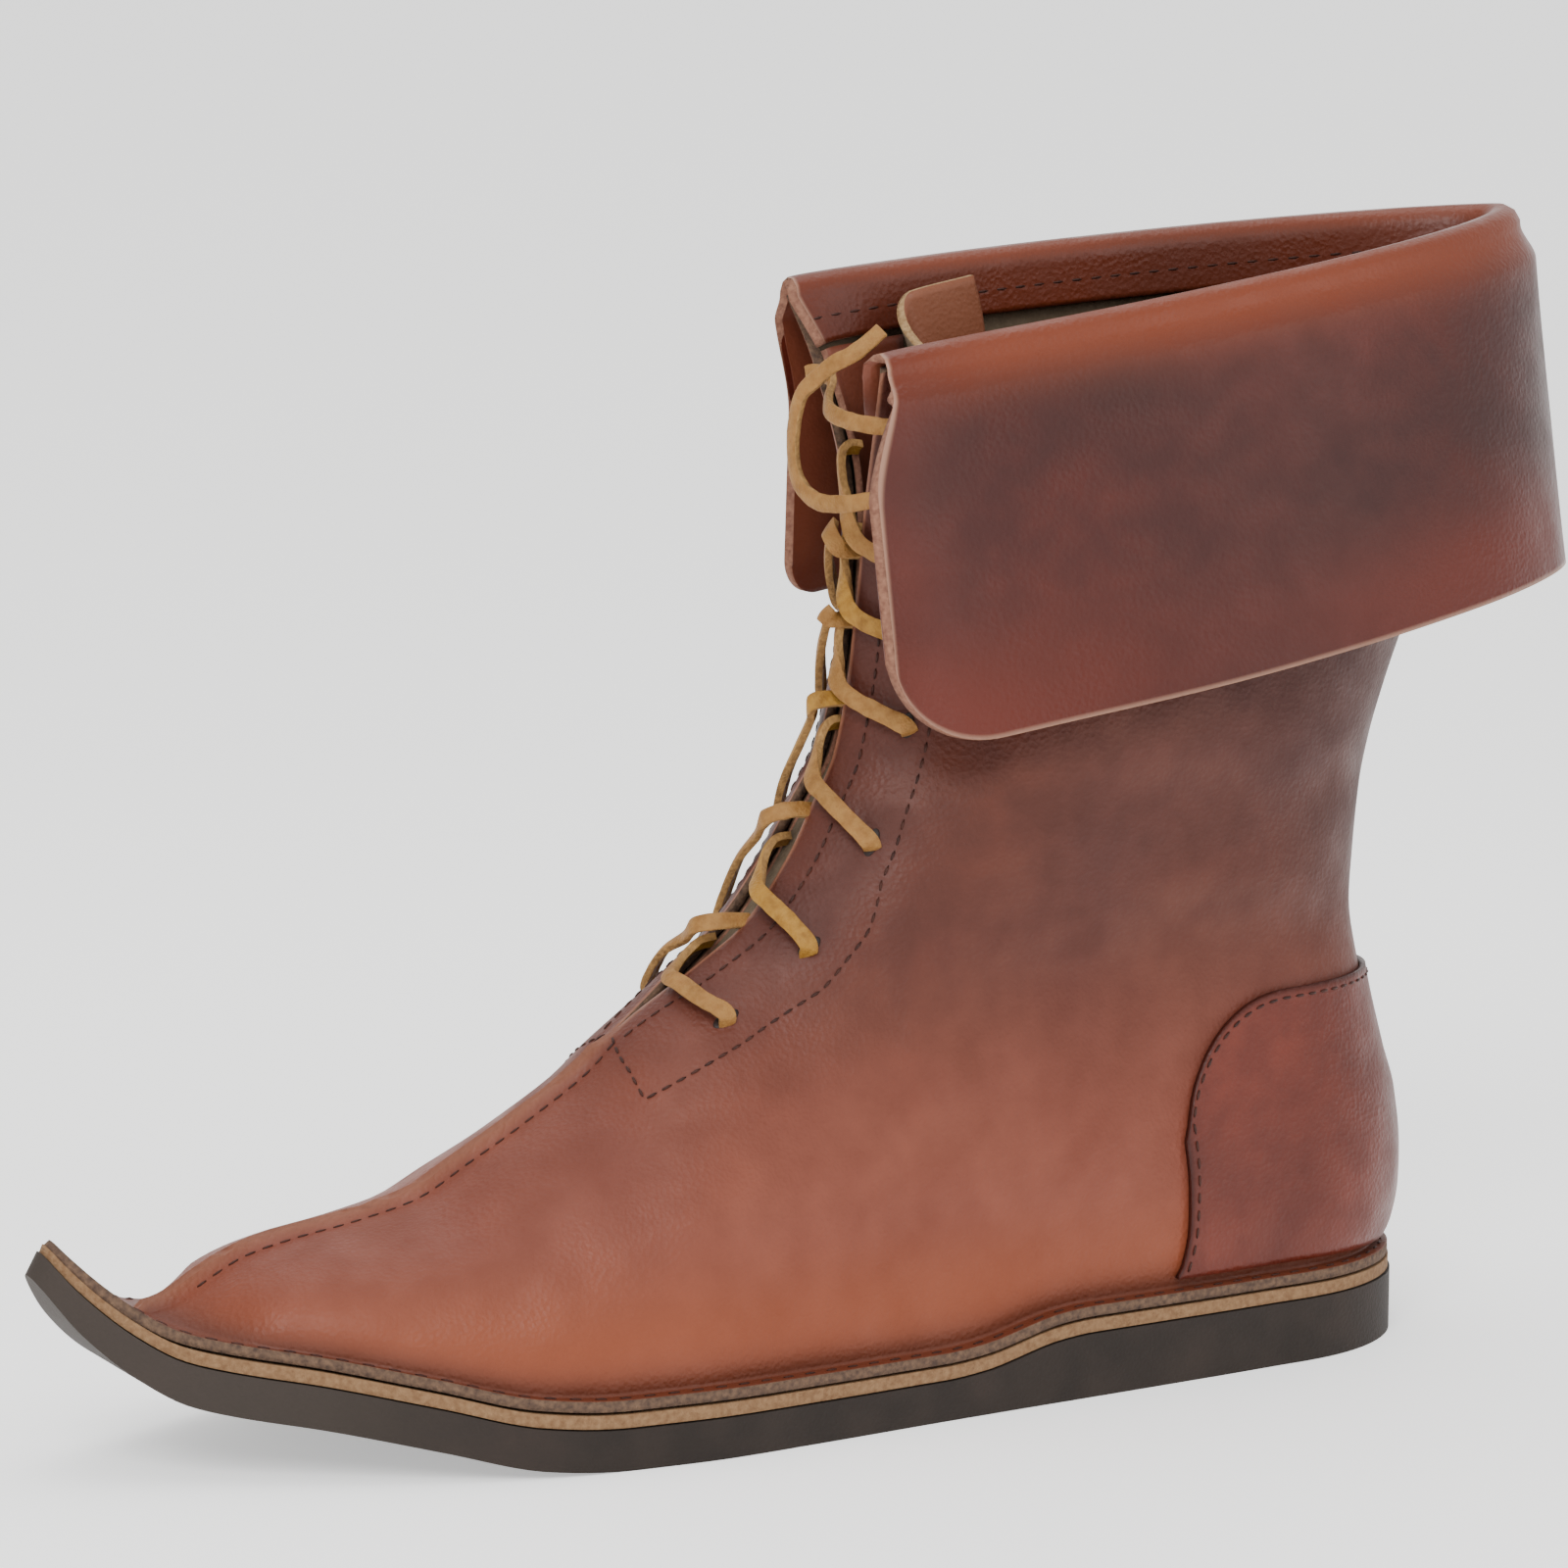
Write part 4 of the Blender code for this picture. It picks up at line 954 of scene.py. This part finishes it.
# Stitch lines beside the lacing and the front seam, as a pitch and marks of (height, gap) in each row
UPPER_STITCHES = (
    (0.0034, ((0.254, 0.0217), (0.301, 0.0291), (0.346, 0.0317), (0.390, 0.0275), (0.444, 0.0228),
              (0.555, 0.0205), (0.70, 0.0200), (0.95, 0.0205))),
    (0.0034, ((0.300, 0.0012), (0.276, 0.0128), (0.254, 0.0217))),
    (0.0034, ((0.300, 0.0045), (0.345, 0.0068), (0.443, 0.0074), (0.578, 0.0071), (0.75, 0.0070),
              (0.95, 0.0072))),
    (0.0038, ((0.035, 0.0034), (0.090, 0.0034), (0.200, 0.0034), (0.296, 0.0034))),
)
COUNTER_PITCH, HEM_PITCH, WELT_PITCH = 0.0037, 0.0050, 0.0052

# How far the counter's stitch line reaches towards its front and top edges, as shares of its grid
COUNTER_LINE_FRONT, COUNTER_LINE_TOP = 0.485, 0.968


def make_stitches(thread):
    lines = [(surface_line(marks, side), pitch)
             for side in (LATERAL, MEDIAL) for pitch, marks in UPPER_STITCHES]
    stitch_rows("upper_stitches", lines, thread, "upper_leather")

    counter_lines = []
    for side in (LATERAL, MEDIAL):
        front = 0.5 + side * COUNTER_LINE_FRONT
        line = [counter_mark(mix(0.5, front, i / 40), COUNTER_LINE_TOP) for i in range(41)]
        line += [counter_mark(front, COUNTER_LINE_TOP * (1 - i / 30)) for i in range(1, 31)]
        counter_lines.append((line, COUNTER_PITCH))
    stitch_rows("counter_stitches", counter_lines, thread, "counter_leather")

    hem = []
    for i in range(121):
        u = 0.006 + 0.988 * i / 120
        spot, above = cuff_shape(u, HEM_PART * 0.5), cuff_shape(u, HEM_PART * 0.6)
        beside = cuff_shape(min(u + 0.004, 1.0), HEM_PART * 0.5)
        hem.append((spot, (beside - spot).cross(above - spot).normalized()))
    stitch_rows("hem_stitches", [(hem, HEM_PITCH)], thread, "cuff_leather", length=0.0032)

    flange = []
    for side in (LATERAL, MEDIAL):
        line = [(upper_shape(0.5 + side * 0.46 * i / 99, FLANGE_SHARE * 0.45), Vector((0, 0, 1)))
                for i in range(100)]
        flange.append((line, WELT_PITCH))
    stitch_rows("welt_stitches", flange, thread, "upper_leather", length=0.0030)


def counter_mark(u, v):
    side, angle, height = counter_place(u, v)
    return counter_shape(u, v), last_normal(height, angle, side)


# The thong

# The lace holes. height: share of the shaft's rise. gap: distance from the laced edge, as a share of the
# strip's width.
Hole = namedtuple("Hole", "height gap")
HOLES = [Hole(*row) for row in (
    (0.321, 0.82), (0.384, 0.74), (0.481, 0.67), (0.595, 0.63), (0.690, 0.60), (0.775, 0.58), (0.855, 0.56),
    (0.930, 0.56),
)]
SLIT_HALVES = (0.0032, 0.0015, 0.0003)
LACE_WIDTH = 0.0038
LACE_THICKNESS = 0.0016
LACE_LIFT = 0.0012
LACE_EDGE_RISE = 0.0005

# How a strand runs. own_edge and far_edge: where it crosses the two laced edges, as shares of the way up from
# its hole to the next. middle and end: how far it stands off the line between the edges. inset: how far short
# of the far edge it ends, in metres.
Strand = namedtuple("Strand", "own_edge far_edge middle end inset")
STRANDS = {
    LATERAL: Strand(0.47, 0.88, 0.0012, 0.0010, 0.0034),
    MEDIAL: Strand(0.92, 1.20, 0.0056, 0.0034, 0.0014),
}


def smooth_path(points, steps):
    """A curve through all the points."""
    path = []
    count = len(points)
    for i in range(count - 1):
        before, start = points[max(i - 1, 0)], points[i]
        finish, after = points[i + 1], points[min(i + 2, count - 1)]
        for k in range(steps):
            t = k / steps
            path.append(0.5 * (2 * start + (finish - before) * t
                               + (2 * before - 5 * start + 4 * finish - after) * t ** 2
                               + (3 * start - before - 3 * finish + after) * t ** 3))
    path.append(points[-1])
    return path


def thong_strip(name, points, fronts, materials, steps=10):
    """A flat strip of thong along a path, its broad face towards the given directions, with rough edges."""
    path = smooth_path(points, steps)
    looks = smooth_path(fronts, steps)
    frames = []
    for i, point in enumerate(path):
        along = (path[min(i + 1, len(path) - 1)] - path[max(i - 1, 0)]).normalized()
        front = (looks[i] - along * looks[i].dot(along)).normalized()
        frames.append((point, front, along.cross(front)))

    def shape(u, v):
        point, front, wide = frames[round(u * (len(path) - 1))]
        share = 2 * v - 1
        width = LACE_WIDTH / 2 * (1 + 0.10 * noise.noise(point * 420.0))
        cup = LACE_THICKNESS * 0.22 * (1 - share ** 2)
        return point + wide * share * width + front * (cup + LACE_THICKNESS * 0.5)

    piece = grid_piece(name, len(path) - 1, 6, shape, materials, LACE_THICKNESS, weld=0.0, turned=True)
    soften(piece, 0.0003, 40)
    return piece, path


def crossing(number, side):
    """One strand: out of its hole, over its own edge, across the gap and down behind the other edge."""
    hole, above = HOLES[number], HOLES[number + 1]
    pitch = above.height - hole.height
    run = STRANDS[side]
    own = hole.height + run.own_edge * pitch
    other = hole.height + run.far_edge * pitch
    lift = LACE_LIFT + LACE_THICKNESS / 2
    start_angle = angle_at(hole.height, side, hole.gap * FACING_WIDTH)
    over_flap = []
    for share in (0.35, 0.70):
        height = mix(hole.height, own, share)
        over_flap.append((height, angle_at(height, side, hole.gap * FACING_WIDTH * (1 - share))))
    ahead = Vector((-0.9, 0.0, 0.45))
    edge = last_point(own, math.pi, side)
    far = last_point(other, math.pi, -side)
    middle = (edge + far) / 2 + ahead * run.middle
    end = Vector((far.x, -side * max(abs(far.y) - run.inset, 0.0), far.z))
    points = [
        skin(hole.height - 0.004, start_angle, side, -0.0030),
        skin(hole.height, start_angle, side, lift),
        skin(*over_flap[0], side, lift + LACE_EDGE_RISE),
        skin(*over_flap[1], side, lift + LACE_EDGE_RISE),
        edge + ahead * (lift + LACE_EDGE_RISE) + Vector((0, side * 0.0010, 0)),
        middle,
        end + ahead * run.end,
        end + Vector((0.0034, -side * 0.0004, 0.0012)),
    ]
    fronts = [
        last_normal(hole.height, start_angle, side) + Vector((0.6, 0.0, -0.6)),
        last_normal(hole.height, start_angle, side),
        last_normal(*over_flap[0], side),
        last_normal(*over_flap[1], side),
        ahead + Vector((0, side * 0.5, 0)),
        ahead + Vector((0, -side * 0.4, 0)),
        ahead + Vector((0, -side * 0.5, 0)),
        Vector((-0.2, -side * 0.6, 0.8)),
    ]
    return points, [front.normalized() for front in fronts]


# The thong's two free ends, repeated from the part's source, in metres
LACE_END_LONG = (
    (-0.0896, -0.0168, 0.1870), (-0.0925, -0.0210, 0.1872), (-0.0975, -0.0235, 0.1875),
    (-0.1020, -0.0238, 0.1878), (-0.1062, -0.0215, 0.1875),
    (-0.1086, -0.0160, 0.1865), (-0.1105, -0.0080, 0.1864), (-0.1115, -0.0020, 0.1891),
    (-0.1122, 0.0000, 0.1935), (-0.1124, 0.0000, 0.2006), (-0.1113, -0.0010, 0.2077),
    (-0.1095, -0.0040, 0.2112), (-0.1075, -0.0080, 0.2145), (-0.1048, -0.0110, 0.2165),
    (-0.1015, -0.0120, 0.2190), (-0.0989, -0.0130, 0.2215),
)
LACE_END_SHORT = (
    (-0.0888, -0.0199, 0.2014), (-0.0925, -0.0224, 0.2015), (-0.0970, -0.0234, 0.2017),
    (-0.1020, -0.0224, 0.2022), (-0.1060, -0.0190, 0.2028),
    (-0.1076, -0.0130, 0.2036), (-0.1072, -0.0060, 0.2050), (-0.1045, -0.0005, 0.2070),
    (-0.1018, 0.0030, 0.2092), (-0.1008, 0.0052, 0.2110), (-0.1025, 0.0072, 0.2122),
    (-0.1050, 0.0086, 0.2116),
)


def make_laces(grain_side, flesh_side, raw):
    for number in range(len(HOLES) - 2):
        for side, word in ((LATERAL, "lateral"), (MEDIAL, "medial")):
            if number == 5 and side == MEDIAL:
                continue  # the thong's long end leaves its hole instead
            faces = [grain_side, flesh_side, raw] if (number + side) % 3 else [flesh_side, grain_side, raw]
            strip, _ = thong_strip(f"thong_{number + 1}_{word}", *crossing(number, side), faces)
            settle(strip, f"lace_{number + 1}_{word}", slot="lace_leather")
    for name, route in (("lace_end_long", LACE_END_LONG), ("lace_end_short", LACE_END_SHORT)):
        points = [Vector(point) for point in route]
        fronts = []
        for i, point in enumerate(points):
            along = points[min(i + 1, len(points) - 1)] - points[max(i - 1, 0)]
            outward = Vector((-1.0, point.y * 40, 0.0))
            fronts.append((outward - along * outward.dot(along) / along.length_squared).normalized())
        strip, path = thong_strip(name.replace("lace_end", "thong_end"), points, fronts,
                                  [grain_side, flesh_side, raw], steps=5)
        settle(strip, name, slot="lace_leather")
        length = sum((b - a).length for a, b in zip(path, path[1:]))
        [tuple(p) for p in path]


def make_holes(material):
    """The punched slits that the thong runs through, as dark beads sunk in the leather: painted shade inside
    the holes.
    """
    slits = bmesh.new()
    for hole in HOLES:
        for side in (LATERAL, MEDIAL):
            spot, normal = stitched_place(hole.height, hole.gap * FACING_WIDTH, side)
            ahead, _ = on_upper(min(hole.height + 0.01, 1.0), hole.gap * FACING_WIDTH, side)
            along = (ahead - spot).normalized()
            bead = bmesh.ops.create_uvsphere(slits, u_segments=16, v_segments=8, radius=1.0)["verts"]
            stretch(bead, spot, (along, normal.cross(along), normal), SLIT_HALVES)
    settle(new_piece("lace_slits", slits, [material]), slot="upper_leather")


# Stage

IMAGE_SIDE = 1600
FOCAL_PIXELS = 5100
SENSOR = 36.0
CAMERA_PLACE = (-0.6066, -0.9057, 0.2630)
CAMERA_AZIMUTH = math.radians(-28.5)
CAMERA_ELEVATION = math.radians(7.5)
LIGHT_AIM = (-0.08, 0.0, 0.10)

# The floor sweeps up behind the boot from this distance on
SWEEP_START = 1.0
SWEEP_RISE = 0.16
WHITE = (1.0, 1.0, 1.0, 1.0)


def make_camera():
    data = bpy.data.cameras.new("camera")
    data.sensor_width = SENSOR
    data.sensor_fit = "AUTO"
    data.lens = SENSOR * FOCAL_PIXELS / IMAGE_SIDE
    data.clip_start = 0.05
    camera = add_object("camera", data, CAMERA_PLACE)
    camera.rotation_euler = (math.pi / 2 - CAMERA_ELEVATION, 0.0, CAMERA_AZIMUTH)
    bpy.context.scene.camera = camera


def make_light(name, place_at, size, power):
    data = bpy.data.lights.new(name, "AREA")
    data.shape = "RECTANGLE"
    data.size = data.size_y = size
    data.energy = power
    light = add_object(name, data, place_at)
    aim = Vector(LIGHT_AIM) - Vector(place_at)
    light.rotation_euler = aim.to_track_quat("-Z", "Y").to_euler()


def make_stage():
    ground = bmesh.new()
    bmesh.ops.create_grid(ground, x_segments=60, y_segments=60, size=8.0)
    for vertex in ground.verts:
        behind = -vertex.co.x * math.sin(CAMERA_AZIMUTH) + vertex.co.y * math.cos(CAMERA_AZIMUTH)
        behind -= SWEEP_START
        if behind > 0:
            vertex.co.z = SWEEP_RISE * behind ** 2
    material, _, shader, _ = blank_material("white_studio_floor", 0.9)
    shader.inputs["Base Color"].default_value = linear("#FAFAF9")
    shader.inputs["Emission Color"].default_value = WHITE
    shader.inputs["Emission Strength"].default_value = 0.55
    new_piece("floor", ground, [material])
    world = bpy.data.worlds.new("studio")
    world.use_nodes = True
    background = world.node_tree.nodes["Background"]
    background.inputs["Color"].default_value = WHITE
    background.inputs["Strength"].default_value = 0.95
    bpy.context.scene.world = world
    make_light("key", (-1.1, -1.3, 1.5), 1.0, 30)
    make_light("fill", (0.9, -1.6, 0.9), 1.2, 8)
    make_light("top", (0.0, 0.3, 1.8), 1.4, 13)


def main():
    make_camera()
    raw_pale = cut_edge("pale_cut_edge", "#8E6450", "#6C4638")
    raw_dark = cut_edge("welt_cut_edge", "#6A5240", "#42322A")
    flesh = suede("suede_flesh_side", "#5C4E3E", "#6E5F4E")
    flesh_brown = suede("brown_suede", "#4A3628", "#5C4434")
    thong_grain = rawhide("thong_grain_side", "#8E6230", "#785020", "#9C743E")
    thong_flesh = rawhide("thong_flesh_side", "#94681F", "#7A5218", "#AA8038")
    thong_raw = cut_edge("thong_cut_edge", "#A8804C", "#80603A")
    make_laces(thong_grain, thong_flesh, thong_raw)
    make_upper(upper_grain(), flesh, raw_dark)
    make_counter(counter_grain(), flesh)
    strip_grain = smooth_grain("smooth_strip_leather", "#5C2B1C", "#6D3826")
    for side, node in ((LATERAL, "facing_lateral"), (MEDIAL, "facing_medial")):
        make_facing(side, node, strip_grain, flesh_brown, raw_pale)
    make_tongue(smooth_grain("tongue_leather", "#704029", "#7E4C36"), flesh,
                cut_edge("tongue_cut_edge", "#A5865F", "#80623F"))
    make_cuff(cuff_grain(), strip_grain, raw_pale)
    make_plate("outsole_rubber", outsole_top, sole_floor, 0.0, OUTSOLE_TIP_BACK, OUTSOLE_TIP_BACK,
               moulded_rubber(), "outsole", "outsole_rubber", 0.0008)
    make_plate("midsole_line", midsole_top, lambda x: outsole_top(x) + CLEARANCE, 0.0004, MIDSOLE_TIP_BACK,
               MIDSOLE_TIP_BACK - OUTSOLE_TIP_BACK,
               cut_edge("midsole_edge", "#86684A", "#6C4E34"), "midsole", "midsole_leather", 0.0004)
    make_stitches(waxed_thread())
    # Near-black beads in the lace holes: painted shade.
    make_holes(smooth_grain("slit_painted_shade", "#1A0C08", "#24120C"))
    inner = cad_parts["insole"]
    inner.data.materials.clear()
    inner.data.materials.append(smooth_grain("insole_leather", "#7A5434", "#664428"))
    make_stage()


main()
